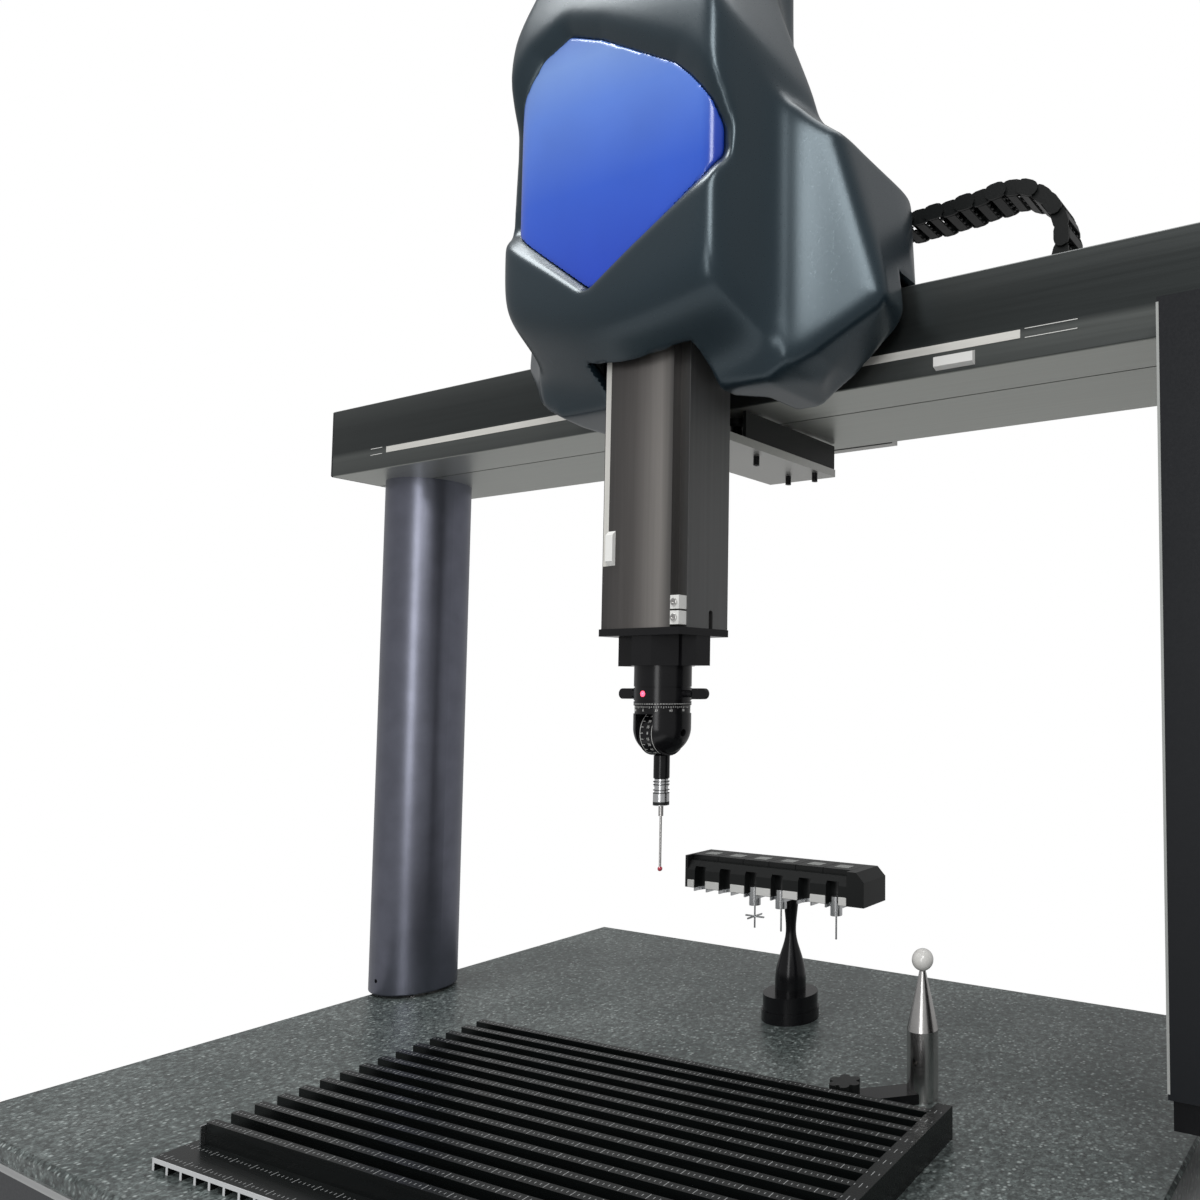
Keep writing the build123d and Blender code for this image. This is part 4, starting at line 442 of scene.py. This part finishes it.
def skin(name, field, low, high, cell):
    """A mesh of the surface where a field is zero: one point in each cell that it crosses."""
    counts = [int(math.ceil((b - a) / cell)) + 1 for a, b in zip(low, high)]
    axes = [np.float32(a) + np.float32(cell) * np.arange(n, dtype=np.float32) for a, n in zip(low, counts)]
    grid = axes[0][:, None, None], axes[1][None, :, None], axes[2][None, None, :]
    value = np.broadcast_to(np.asarray(field(*grid), np.float32), counts)
    inside = value < 0
    corner = [(i, j, k) for i in (0, 1) for j in (0, 1) for k in (0, 1)]
    held = 0
    for c in corner:
        reach = tuple(slice(start, count - 1 + start) for start, count in zip(c, counts))
        held = held + inside[reach].astype(np.int8)
    cells = np.argwhere((held > 0) & (held < 8))
    number = -np.ones([n - 1 for n in counts], np.int64)
    number[tuple(cells.T)] = np.arange(len(cells))
    total, hits = np.zeros((len(cells), 3)), np.zeros(len(cells))
    for a in corner:
        for axis in range(3):
            if a[axis]:
                continue
            b = tuple(c + (i == axis) for i, c in enumerate(a))
            va, vb = value[tuple((cells + a).T)], value[tuple((cells + b).T)]
            cut = (va < 0) != (vb < 0)
            share = va[cut] / (va[cut] - vb[cut])
            point = np.tile(np.array(a, float), (len(share), 1))
            point[:, axis] += share
            total[cut] += point
            hits[cut] += 1
    points = (cells + total / hits[:, None]) * cell + np.array(low)
    for _ in range(SETTLE_ROUNDS):
        points = settle(points, field, cell)
    quads = []
    for axis in range(3):
        others = [i for i in range(3) if i != axis]
        first = [slice(None)] * 3
        second = [slice(None)] * 3
        first[axis], second[axis] = slice(0, -1), slice(1, None)
        change = inside[tuple(first)] != inside[tuple(second)]
        edges = np.argwhere(change)
        edges = edges[(edges[:, others[0]] > 0) & (edges[:, others[1]] > 0)]
        around = []
        for i, j in ((-1, -1), (0, -1), (0, 0), (-1, 0)):
            where = edges.copy()
            where[:, others[0]] += i
            where[:, others[1]] += j
            around.append(number[tuple(where.T)])
        faces = np.stack(around, 1)
        outward = inside[tuple(edges.T)] != (axis == 1)
        faces[~outward] = faces[~outward][:, ::-1]
        quads.append(faces)
    mesh = bpy.data.meshes.new(name)
    mesh.from_pydata(points.tolist(), [], np.concatenate(quads).tolist())
    mesh.update()
    return bpy.data.objects.new(name, mesh)


def settle(points, field, cell):
    """Move points along the field's slope onto its zero surface."""
    step = cell / 8
    here = np.asarray(field(*points.T))
    ahead = [np.asarray(field(*(points + step * np.eye(3)[i]).T)) for i in range(3)]
    slope = np.stack([value - here for value in ahead], 1) / step
    move = slope * (here / np.maximum((slope ** 2).sum(1), 0.05))[:, None]
    length = np.linalg.norm(move, axis=1, keepdims=True)
    return points - move * np.minimum(1, cell / 2 / np.maximum(length, 1e-9))


def show(piece, body, finish, smooth_angle=40):
    """Link a finished piece, give it its material and let it ride on a body, if it has one."""
    bpy.context.scene.collection.objects.link(piece)
    piece.data.materials.clear()
    piece.data.materials.append(materials[finish])
    piece.data.polygons.foreach_set("use_smooth", [True] * len(piece.data.polygons))
    piece.data.set_sharp_from_angle(angle=math.radians(smooth_angle))
    if body:
        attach(piece, body)
    return piece


# Moulded cover: nose, tower and side wings

quill_low, quill_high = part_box("quill")
AXIS_X = (quill_low.x + quill_high.x) / 2
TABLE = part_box("granite_table")[1].z
beam_low, beam_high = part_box("beam")
CELL = 0.003
RECESS_DEPTH = 0.0090
SHEET = 0.0050
BEVEL_LOW = 0.45
BEVEL_TOP = 1.35
BEVEL_START = 0.72
BEVEL_RISE = 0.12
WALL = 0.010
WALL_AT_BEAM = 0.023
WINDOW_RIM = 0.012
WINDOW_BACK = -0.120
SHEET_BACK = -0.122
WINDOW_MIDDLE = 0.0115
WINDOW_FLARE = 0.1165
BEAM_ROOM = 0.007
BEAM_ROOM_FRONT = 0.014
REAR_CUT = 0.038
MOUTH_TOP = 1.480
RUN_FRONT = 0.0575
RUN_BACK = 0.1035
RUN_TOP = 1.539
PORT_LOW = 1.632
PORT_TOP = 1.653
COVER_MIDDLE = -0.010
mouth_plan = outline([(-0.057, -0.1690), (0.057, -0.1690), (0.060, -0.118), (0.082, -0.100), (0.082, 0.190),
                      (-0.082, 0.190), (-0.082, -0.100), (-0.060, -0.118)], 0.006)
tower_plan = outline([(-0.096, -0.1825), (0.076, -0.1825), (0.076, -0.045), (-0.096, -0.045)], 0.022)
tower_side = outline([(-0.1825, 0.900), (-0.1825, 1.415), (-0.045, 1.415), (-0.045, 0.900)], 0.012)
hump_plan = outline([(-0.080, -0.060), (0.060, -0.060), (0.056, 0.112), (-0.076, 0.112)], 0.014)
hump_side = outline([(-0.060, 0.700), (0.112, 0.700), (0.112, 0.850), (0.096, 0.868), (0.034, 0.885),
                     (-0.020, 0.898), (-0.060, 0.898)], 0.010)
wing_plan = outline(mirrored([(0.136, -0.1365), (0.208, -0.0975), (0.196, -0.0265), (0.098, 0.1205),
                              (0.070, 0.1945)], COVER_MIDDLE), 0.012)
wing_front = outline(mirrored([(0.118, 0.622), (0.153, 0.641), (0.208, 0.687), (0.172, 0.824),
                               (0.142, 0.840)], COVER_MIDDLE), 0.012)
window_shape = outline([(-0.140, 0.771), (-0.027, 0.697), (0.098, 0.766), (0.121, 0.785), (0.121, 0.808),
                        (0.108, 0.826), (0.084, 0.850), (0.066, 0.865), (-0.023, 0.911), (-0.066, 0.927),
                        (-0.098, 0.914), (-0.126, 0.884), (-0.140, 0.862)], 0.014)


def plane(point, normal, x, y, z):
    """Signed distance to a plane through a point, with its normal out of the solid."""
    size = math.sqrt(sum(n * n for n in normal))
    return ((x - point[0]) * normal[0] + (y - point[1]) * normal[1] + (z - point[2]) * normal[2]) / size


NOSE_FRONT = -0.2045
NOSE_RIGHT = 0.105
NOSE_LEFT = -0.128
NOSE_FLOOR = 0.631
FLANK_LEAN = 0.2336
SHOULDER = -0.0975
SHOULDER_LEAN = 0.92
TAPER_LEAN = 0.0745
RIGHT_TAPER = 0.872
RIGHT_FALL = 0.417
LEFT_TAPER = 0.935
LEFT_FALL = 0.44
CHIN = (-0.024, -0.1695, 0.634)
CHIN_SLOPE = 0.6


def nose_form(u, y, z):
    """Nose: flared flanks, a taper that starts lower on the right, and a chin that falls to one side."""
    front = plane((0, NOSE_FRONT, 0), (0, -1, 0), u, y, z)
    lean = plane((0, NOSE_FRONT, 0.925), (0, -1, 0.26), u, y, z)
    right = plane((NOSE_RIGHT, NOSE_FRONT, 0), (1, -FLANK_LEAN, 0), u, y, z)
    left = plane((NOSE_LEFT, NOSE_FRONT, 0), (-1, -FLANK_LEAN, 0), u, y, z)
    taper_right = plane((0.1267, SHOULDER, RIGHT_TAPER), (1, -TAPER_LEAN, RIGHT_FALL), u, y, z)
    taper_left = plane((NOSE_LEFT, NOSE_FRONT, LEFT_TAPER), (-1, -TAPER_LEAN, LEFT_FALL), u, y, z)
    chin_right = plane(CHIN, (0.19, -CHIN_SLOPE, -1), u, y, z)
    chin_left = plane(CHIN, (-0.33, -CHIN_SLOPE, -1), u, y, z)
    low = plane((0, 0, NOSE_FLOOR), (0, 0, -1), u, y, z)
    corner_right = plane((0.130, SHOULDER, 0), (1, SHOULDER_LEAN, 0), u, y, z)
    corner_left = plane((-0.153, SHOULDER, 0), (-1, SHOULDER_LEAN, 0), u, y, z)
    hip_right = plane((0.128, SHOULDER, RIGHT_TAPER), (1, SHOULDER_LEAN, RIGHT_FALL), u, y, z)
    hip_left = plane((-0.151, SHOULDER, LEFT_TAPER), (-1, SHOULDER_LEAN, LEFT_FALL), u, y, z)
    back = plane((0, -0.045, 0.985), (0, 1, 0.2), u, y, z)
    faces = meet(0.0065, front, right, left)
    chin = meet(0.0085, faces, meet(0.012, chin_right, chin_left))
    sides = meet(0.0030, taper_right, taper_left, corner_right, corner_left, hip_right, hip_left)
    return meet(0.0030, meet(0.005, chin, lean), sides, low, back)


def cover_form(x, y, z):
    """Outer form of the cover."""
    u, h = x - AXIS_X, z - TABLE
    nose = nose_form(u, y, h)
    tower = meet(0.005, tower_plan(u, y), tower_side(y, h))
    hump = meet(0.004, hump_plan(u, y), hump_side(y, h))
    wings = meet(0.0045, wing_plan(u, y), wing_front(u, h))
    return join(0.010, join(0.006, nose, tower), join(0.005, hump, wings))


def window_gap(x, y, z):
    """Distance to the window's outline along the cover's skin, which wraps round both corners."""
    u = x - AXIS_X + WINDOW_MIDDLE
    reach = np.maximum(y - NOSE_FRONT, 0)
    return window_shape(u * (1 + reach / WINDOW_FLARE) - WINDOW_MIDDLE, z - TABLE)


def cover_field(x, y, z):
    """The cover as a shell with its recess, its mouth and the passage for the beam."""
    form = cover_form(x, y, z)
    edge = window_gap(x, y, z)
    facing = y - WINDOW_BACK
    rise = np.clip((z - TABLE - BEVEL_START) / BEVEL_RISE, 0, 1)
    bevel = BEVEL_LOW + (BEVEL_TOP - BEVEL_LOW) * rise
    slope = (edge - bevel * np.maximum(form + RECESS_DEPTH, 0)) / np.hypot(1, bevel)
    recess = meet(0.0010, -(form + RECESS_DEPTH + SHEET), slope, facing)
    body = meet(0.0018, form, -recess)
    hollow = np.minimum(meet(0.0010, form + WALL, WINDOW_RIM - edge), form + WALL_AT_BEAM)
    passage = room(x, y, z, (-1, beam_low.y - BEAM_ROOM_FRONT, 1.0),
                   (1, beam_high.y + BEAM_ROOM, beam_high.z + BEAM_ROOM))
    rear_edge = room(x, y, z, (-1, beam_high.y, 1.0), (1, 1, beam_low.z + REAR_CUT))
    mouth = meet(0.006, mouth_plan(x - AXIS_X, y), z - MOUTH_TOP)
    runs = room(x, y, z, (-1, RUN_FRONT, 1.4), (1, RUN_BACK, RUN_TOP))
    port = room(x, y, z, (AXIS_X + 0.05, RUN_FRONT, PORT_LOW), (1, RUN_BACK, PORT_TOP))
    return meet(0.0012, body, -hollow, -passage, -rear_edge, -mouth, -runs, -port)


def window_field(x, y, z):
    """The blue sheet in its recess."""
    form = cover_form(x, y, z)
    back = -(form + RECESS_DEPTH + SHEET - 0.0005)
    return meet(0.0006, window_gap(x, y, z) + 0.0003, form + RECESS_DEPTH, back, y - SHEET_BACK)


cover_box = [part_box("front_cover"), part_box("rear_cover")]
cover_low = [min(b[0][i] for b in cover_box) - 2 * CELL for i in range(3)]
cover_high = [max(b[1][i] for b in cover_box) + 2 * CELL for i in range(3)]
cover = show(skin("cover", cover_field, cover_low, cover_high, CELL), "x_carriage", "cover")
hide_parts("front_cover", "rear_cover")
WINDOW_CELL = 0.002
window_low = [v - 4 * WINDOW_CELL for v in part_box("window_panel")[0]]
window_high = [v + 4 * WINDOW_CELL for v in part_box("window_panel")[1]]
window = show(skin("window", window_field, window_low, window_high, WINDOW_CELL), "x_carriage", "window", 50)
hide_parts("window_panel")


# Small solids, built in bmesh

def solid(name, body, finish, build, smooth_angle=35):
    """A piece whose mesh is filled by a function, riding on a body; without a body it stays free."""
    mesh = bmesh.new()
    build(mesh)
    bmesh.ops.recalc_face_normals(mesh, faces=mesh.faces)
    data = bpy.data.meshes.new(name)
    mesh.to_mesh(data)
    mesh.free()
    return show(bpy.data.objects.new(name, data), body, finish, smooth_angle)


def once(items):
    """The items without repeats, in an order that stays the same from run to run."""
    return list(dict.fromkeys(items))


def slab(mesh, low, high, edge=0.0, place=Matrix()):
    """A block between two corners with rounded edges."""
    middle = [(a + b) / 2 for a, b in zip(low, high)]
    size = [b - a for a, b in zip(low, high)]
    block = Matrix.Translation(middle) @ Matrix.Diagonal((*size, 1))
    points = bmesh.ops.create_cube(mesh, size=1, matrix=block)["verts"]
    if edge:
        edges = once(e for v in points for e in v.link_edges)
        made = bmesh.ops.bevel(mesh, geom=edges, offset=edge, segments=2, affect="EDGES")
        points = once([v for f in made["faces"] for v in f.verts] + [v for v in points if v.is_valid])
    bmesh.ops.transform(mesh, matrix=place, verts=points)


def revolved(mesh, profile, place, steps=32):
    """A closed profile of (radius, height) turned about a place's own Z axis."""
    rows = []
    for i in range(steps):
        turn = 2 * math.pi * i / steps
        rows.append([mesh.verts.new(place @ Vector((r * math.cos(turn), r * math.sin(turn), h)))
                     for r, h in profile])
    for first, second in zip(rows, rows[1:] + rows[:1]):
        for j in range(len(profile)):
            k = (j + 1) % len(profile)
            mesh.faces.new((first[j], second[j], second[k], first[k]))


def upright(x, y, z):
    """A place whose Z axis stays up."""
    return Matrix.Translation((x, y, z))


def facing_front(x, y, z):
    """A place whose Z axis points to the front, along minus Y."""
    return Matrix.Translation((x, y, z)) @ Matrix.Rotation(math.radians(90), 4, "X")


def socket_screw(mesh, place, radius, height):
    """Screw head with a chamfer and a recessed socket, standing on its place."""
    pit = radius * 0.5
    tip = radius * 0.02
    profile = [(tip, height * 0.35), (pit, height * 0.35), (pit, height), (radius * 0.86, height),
               (radius, height * 0.8), (radius, 0), (tip, 0)]
    revolved(mesh, profile, place, 24)


def digits(mesh, text, height, place):
    """Plain raised digits, centred on their place and facing its Z axis."""
    curve = bpy.data.curves.new("digits", "FONT")
    curve.body = text
    curve.size = height
    curve.extrude = 0.00005
    curve.align_x, curve.align_y = "CENTER", "CENTER"
    curve.resolution_u = 2
    holder = bpy.data.objects.new("digits", curve)
    data = holder.to_mesh()
    data.transform(place)
    mesh.from_mesh(data)
    holder.to_mesh_clear()
    bpy.data.objects.remove(holder)
    bpy.data.curves.remove(curve)


# Cable chain: links on the two runs and on the loop between them

CHAIN_Y = (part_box("chain_loop")[0].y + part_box("chain_loop")[1].y) / 2
CHAIN_HALF = 0.0200
CHAIN_TALL = 0.0148
CHAIN_PITCH = 0.0165
CHAIN_PLATE = 0.0022
LOOP_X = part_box("chain_loop")[0].x
CHAIN_LOW = (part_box("chain_lower_run")[0].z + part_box("chain_lower_run")[1].z) / 2
CHAIN_HIGH = (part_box("chain_upper_run")[0].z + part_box("chain_upper_run")[1].z) / 2
LOOP_RADIUS = (CHAIN_HIGH - CHAIN_LOW) / 2
UPPER_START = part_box("chain_upper_run")[0].x
LOWER_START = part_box("chain_lower_run")[0].x
SAG = 0.006


def side_plate(mesh, length, tall, low, high, place):
    """A plate with round ends between two widths, in a link's own frame."""
    radius = tall / 2
    reach = length / 2 - radius
    rim = []
    for end in (1, -1):
        for i in range(7):
            turn = math.radians(-90 + 30 * i)
            rim.append((end * (reach + radius * math.cos(turn)), end * radius * math.sin(turn)))
    near = [mesh.verts.new(place @ Vector((x, low, z))) for x, z in rim]
    far = [mesh.verts.new(place @ Vector((x, high, z))) for x, z in rim]
    mesh.faces.new(near)
    mesh.faces.new(far[::-1])
    for i in range(len(rim)):
        k = (i + 1) % len(rim)
        mesh.faces.new((near[i], far[i], far[k], near[k]))


BAR_THICK = 0.0018
BAR_PROUD = 0.0001
BAR_SHARE = 0.30
TEETH = 4
TOOTH_HALF = 0.0018
TOOTH_SHARE = 0.44
LINK_OVERLAP = 0.42
LINK_PLAY = 0.0002


def link(mesh, number, pitch, place):
    """One chain link: overlapping side plates, and crossbars with teeth above and below."""
    inset = (number % 2) * (CHAIN_PLATE + LINK_PLAY)
    outer, inner = CHAIN_HALF - inset, CHAIN_HALF - inset - CHAIN_PLATE
    for side in (1, -1):
        low, high = sorted((side * inner, side * outer))
        side_plate(mesh, pitch + CHAIN_TALL * LINK_OVERLAP, CHAIN_TALL, low, high, place)
        bar_low, bar_high = sorted((side * (CHAIN_TALL / 2 - BAR_THICK), side * (CHAIN_TALL / 2 + BAR_PROUD)))
        bar_end, tooth_end = pitch * BAR_SHARE, pitch * TOOTH_SHARE
        slab(mesh, (-bar_end, -inner, bar_low), (bar_end, inner, bar_high), 0.0006, place)
        for step in range(TEETH):
            y = inner * (step - (TEETH - 1) / 2) / 2
            tooth_low, tooth_high = (bar_end, y - TOOTH_HALF, bar_low), (tooth_end, y + TOOTH_HALF, bar_high)
            slab(mesh, tooth_low, tooth_high, 0.0004, place)


def run_place(x, z, slope):
    """A link's place on a straight run."""
    return Matrix.Translation((x, CHAIN_Y, z)) @ Matrix.Rotation(-slope, 4, "Y")


def chain_run(mesh, start, height, sag):
    """Links from a start to the loop, drooping a little in the middle."""
    length = LOOP_X - start
    count = round(length / CHAIN_PITCH)
    for i in range(count):
        share = (i + 0.5) / count
        slope = -sag * math.pi * math.cos(math.pi * share) / length
        z = height - sag * math.sin(math.pi * share)
        link(mesh, i, length / count, run_place(start + share * length, z, slope))


def chain_bend(mesh):
    """Links round the half circle."""
    count = round(math.pi * LOOP_RADIUS / CHAIN_PITCH)
    for i in range(count):
        turn = math.pi * (i + 0.5) / count
        place = Matrix.Translation((LOOP_X, CHAIN_Y, (CHAIN_LOW + CHAIN_HIGH) / 2))
        place = place @ Matrix.Rotation(-turn, 4, "Y") @ Matrix.Translation((0, 0, -LOOP_RADIUS))
        link(mesh, i + 1, math.pi * LOOP_RADIUS / count, place)


def chain_upper(mesh):
    """The run that drives with the carriage."""
    chain_run(mesh, UPPER_START, CHAIN_HIGH, SAG)


def chain_lower(mesh):
    """The run that lies in the tray."""
    chain_run(mesh, LOWER_START, CHAIN_LOW, 0)


upper_run = solid("chain_upper_links", None, "chain", chain_upper)
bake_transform(upper_run)
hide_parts("chain_upper_run")
lower_run = solid("chain_lower_links", None, "chain", chain_lower)
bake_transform(lower_run)
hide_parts("chain_lower_run")
bend = solid("chain_loop_links", "chain_loop", "chain", chain_bend)
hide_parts("chain_loop")


# Probe head: dial, tilt scale and lines

AXIS_Y = (quill_low.y + quill_high.y) / 2
DIAL_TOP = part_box("head_dome")[1].z
DIAL_RADIUS = 0.0226
DRUM_RADIUS = 0.0192
DRUM_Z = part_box("tilt_drum")[0].z + DRUM_RADIUS
PRINT = 0.00012
LINE_HALF = 0.00016
DIAL_TICK = 0.0012
DIAL_LONG_TICK = 0.0018
DIAL_DIGITS = 0.0026
DRUM_LINE = 0.0062
DRUM_DIGITS = 0.0032
BAND_DROPS = (0.0025, 0.0050, 0.0095, 0.0120)


def around(radius, turn, z):
    """A place on a ring round the quill axis, facing outward; zero degrees is the front."""
    spin = Matrix.Rotation(math.radians(turn), 4, "Z")
    return upright(AXIS_X, AXIS_Y, z) @ spin @ facing_front(0, -radius, 0)


def dial_marks(mesh):
    """Ticks and plain degrees round the dial."""
    for turn in range(0, 360, 5):
        tall = DIAL_TICK if turn % 15 else DIAL_LONG_TICK
        place = around(DIAL_RADIUS, turn, DIAL_TOP - 0.0004 - tall / 2)
        slab(mesh, (-LINE_HALF, -tall / 2, -PRINT), (LINE_HALF, tall / 2, PRINT), 0, place)
    for turn in range(0, 360, 30):
        digits(mesh, str(turn), DIAL_DIGITS, around(DIAL_RADIUS + PRINT, turn, DIAL_TOP - 0.0040))


def band(inner, outer, tall):
    """Profile of a flat ring."""
    return [(inner, 0), (outer, 0), (outer, tall), (inner, tall)]


def ring_line(mesh):
    """Printed line round the fixed ring above the dial."""
    radius = DIAL_RADIUS + 0.0008
    line = band(radius - PRINT, radius + PRINT, 0.0004)
    revolved(mesh, line, upright(AXIS_X, AXIS_Y, DIAL_TOP + 0.0012), 64)


def drum_place(turn, across):
    """A place on the tilt drum, facing outward; zero degrees is the front, more is lower."""
    spin = Matrix.Rotation(math.radians(turn), 4, "X")
    return upright(AXIS_X + across, AXIS_Y, DRUM_Z) @ spin @ facing_front(0, -DRUM_RADIUS, 0)


def tilt_marks(mesh):
    """Two lines round the drum with ticks and plain degrees between them."""
    line = Vector((0.00018, 0.00102, PRINT))
    for across in (-DRUM_LINE, DRUM_LINE):
        for turn in range(-60, 61, 6):
            slab(mesh, -line, line, 0, drum_place(turn, across))
    for turn in range(-60, 61, 15):
        slab(mesh, (-0.0058, -LINE_HALF, -PRINT), (-0.0030, LINE_HALF, PRINT), 0, drum_place(turn, 0))
        digits(mesh, str(abs(turn)), DRUM_DIGITS, drum_place(turn, 0.0018))


def module_bands(mesh):
    """Dark bands round the stylus module: fine rings above and a collar at its lower end."""
    low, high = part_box("stylus_module")
    radius = (high.x - low.x) / 2
    bands = [(high.z - drop, 0.0005) for drop in BAND_DROPS]
    bands.append((low.z + 0.0004, 0.0026))
    for z, tall in bands:
        revolved(mesh, band(radius - 0.0004, radius + 0.0001, tall), upright(AXIS_X, AXIS_Y, z), 48)


solid("module_bands", "head_tilt", "black", module_bands)
solid("dial_marks", "head_yaw", "mark", dial_marks)
solid("ring_line", "quill", "mark", ring_line)
solid("tilt_marks", "head_tilt", "mark", tilt_marks)


# Small fittings: clamp screws, bracket wall in painted shade, bare labels, rack ports and patches, thin
# strips, one of them a painted highlight

BRACKET_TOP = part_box("carriage_frame")[0].z + 0.0082
CLAMP_RISES = (0.0055, 0.0180)
CLAMP_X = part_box("scale_fittings")[1].x - 0.0045
CLAMP_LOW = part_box("scale_fittings")[0].z


def clamp_screws(mesh):
    """Socket screws on the two tape clamps at the quill's corner."""
    for rise in CLAMP_RISES:
        place = facing_front(CLAMP_X, quill_low.y - 0.0004, CLAMP_LOW + rise)
        socket_screw(mesh, place, 0.0030, 0.0014)


def bracket_wall(mesh):
    """Upright wall along the right edge of the bracket, just under the beam, made dark as painted shade for
    the bracket's shadowed side.
    """
    low = (AXIS_X + 0.0070, beam_low.y + 0.0040, BRACKET_TOP)
    high = (AXIS_X + 0.0108, beam_high.y - 0.0190, beam_low.z - 0.0015)
    slab(mesh, low, high, 0.0005)


def beam_labels(mesh):
    """Bare labels at both ends of the beam's scale: two printed lines each, with nothing between."""
    scale_low, scale_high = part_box("x_scale")
    z = (scale_low.z + scale_high.z) / 2
    front, back, tall = beam_low.y - 0.0003, beam_low.y - 0.0001, 0.0006
    for x, length in ((scale_low.x - 0.030, 0.022), (scale_high.x + 0.004, 0.044)):
        for line_z in (z - 0.0040, z + 0.0034):
            slab(mesh, (x, front, line_z), (x + length, back, line_z + tall))


RACK_LOW, RACK_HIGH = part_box("rack_body")
BAYS = 6
BAY = (RACK_HIGH.x - RACK_LOW.x) / BAYS
PORT_HALF = 0.0084
PORT_WEB = BAY / 2 - PORT_HALF


def rack_patches(mesh):
    """Pale patches on the lids of the change rack."""
    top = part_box("rack_lids")[1].z
    half, front, back = 0.0090, RACK_LOW.y + 0.0180, RACK_LOW.y + 0.0320
    for i in range(BAYS):
        x = RACK_LOW.x + (i + 0.5) * BAY
        slab(mesh, (x - half, front, top), (x + half, back, top + 0.0003), 0.0001)


def rack_ports(mesh):
    """Bright inserts between the ports, low on the rack's front."""
    bottom, top = RACK_LOW.z + 0.0004, RACK_LOW.z + 0.0092
    for i in range(BAYS + 1):
        middle = RACK_LOW.x + i * BAY
        left, right = max(middle - PORT_WEB, RACK_LOW.x), min(middle + PORT_WEB, RACK_HIGH.x)
        slab(mesh, (left, RACK_LOW.y - 0.0010, bottom), (right, RACK_LOW.y, top), 0.0004)


def fin_strip(mesh):
    """Small bare strip at the left end of the plate's first fin."""
    place = Matrix.Translation(PLATE_MIDDLE) @ Matrix.Rotation(PLATE_TURN, 4, "Z")
    left, front = -PLATE_SIZE[0] / 2 + 0.0120, -PLATE_SIZE[1] / 2 + FIRST_FIN
    bottom, top = 0.0095, 0.0250
    slab(mesh, (left, front - 0.0040, bottom), (left + 0.0018, front + 0.0030, top), 0.0003, place)


def leg_edge(mesh):
    """Thin pale strip up the front left corner of the right leg: a painted highlight on that edge."""
    low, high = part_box("leg_cover")
    proud, width, margin = 0.0004, 0.0016, 0.004
    bottom = (low.x - proud, low.y - proud, low.z + margin)
    slab(mesh, bottom, (low.x + width, low.y, high.z - margin), 0.0001)


# The bracket wall is black as painted shade.
solid("bracket_wall", "x_carriage", "black", bracket_wall)
solid("clamp_screws", "quill", "steel", clamp_screws)
solid("beam_labels", "bridge", "mark", beam_labels)
solid("rack_patches", "base", "patch", rack_patches)
solid("rack_ports", "base", "white", rack_ports)
solid("fin_strip", "base", "silver", fin_strip)
# Painted highlight up the leg's front left edge.
solid("leg_edge", "bridge", "patch", leg_edge)


# Stage: floor, light and camera

FLOOR_SIZE = 3.4
FLOOR_SHADE = 0.88
WORLD_LIGHT = 0.42
WORLD_SEEN = 1.0
CAMERA_PLACE = (0.6121, -0.7471, 1.1738)
CAMERA_TURN = math.radians(27.50)
CAMERA_TILT = math.radians(3.51)
CAMERA_LENS = 28.8
CAMERA_SHIFT = (-0.274, 0.024)

bpy.ops.mesh.primitive_plane_add(size=FLOOR_SIZE, location=(0, 0, 0))
floor = bpy.context.object
floor.name = "floor"
pale = bpy.data.materials.new("floor_pale")
pale.use_nodes = True
tree = pale.node_tree
paint = tree.nodes["Principled BSDF"]
paint.inputs["Base Color"].default_value = (FLOOR_SHADE, FLOOR_SHADE, FLOOR_SHADE, 1)
paint.inputs["Roughness"].default_value = 0.7
floor.data.materials.append(pale)

world = bpy.data.worlds.new("studio")
bpy.context.scene.world = world
world.use_nodes = True
sky = world.node_tree
background = sky.nodes["Background"]
background.inputs["Color"].default_value = (1, 1, 1, 1)
path = sky.nodes.new("ShaderNodeLightPath")
seen = sky.nodes.new("ShaderNodeMath")
seen.operation = "MAXIMUM"
sky.links.new(path.outputs["Is Camera Ray"], seen.inputs[0])
sky.links.new(path.outputs["Is Transmission Ray"], seen.inputs[1])
level = sky.nodes.new("ShaderNodeMapRange")
level.inputs["To Min"].default_value = WORLD_LIGHT
level.inputs["To Max"].default_value = WORLD_SEEN
sky.links.new(seen.outputs["Value"], level.inputs["Value"])
sky.links.new(level.outputs["Result"], background.inputs["Strength"])


def softbox(name, place, aim, size, power):
    """A rectangular area light turned towards a point."""
    lamp = bpy.data.lights.new(name, "AREA")
    lamp.shape = "RECTANGLE"
    lamp.size, lamp.size_y = size
    lamp.energy = power
    holder = bpy.data.objects.new(name, lamp)
    holder.location = place
    holder.rotation_euler = (Vector(aim) - Vector(place)).to_track_quat("-Z", "Y").to_euler()
    bpy.context.scene.collection.objects.link(holder)


softbox("key", (-1.0, -1.1, 3.9), (0.0, -0.2, 1.5), (1.3, 1.0), 46)
softbox("fill", (1.45, -1.95, 2.9), (0.1, -0.2, 1.5), (0.7, 1.3), 30)
softbox("front", (1.0, -3.0, 1.5), (0.0, 0.0, 1.2), (0.8, 1.8), 18)
softbox("top", (0.0, 0.2, 3.9), (0.0, 0.0, 1.0), (2.2, 2.0), 30)

lens = bpy.data.cameras.new("camera")
camera = bpy.data.objects.new("camera", lens)
bpy.context.scene.collection.objects.link(camera)
bpy.context.scene.camera = camera
camera.location = CAMERA_PLACE
camera.rotation_euler = (math.radians(90) + CAMERA_TILT, 0, CAMERA_TURN)
lens.sensor_width = 36
lens.lens = CAMERA_LENS
lens.shift_x, lens.shift_y = CAMERA_SHIFT
lens.clip_start = 0.01

bpy.context.scene.view_settings.view_transform = "Standard"
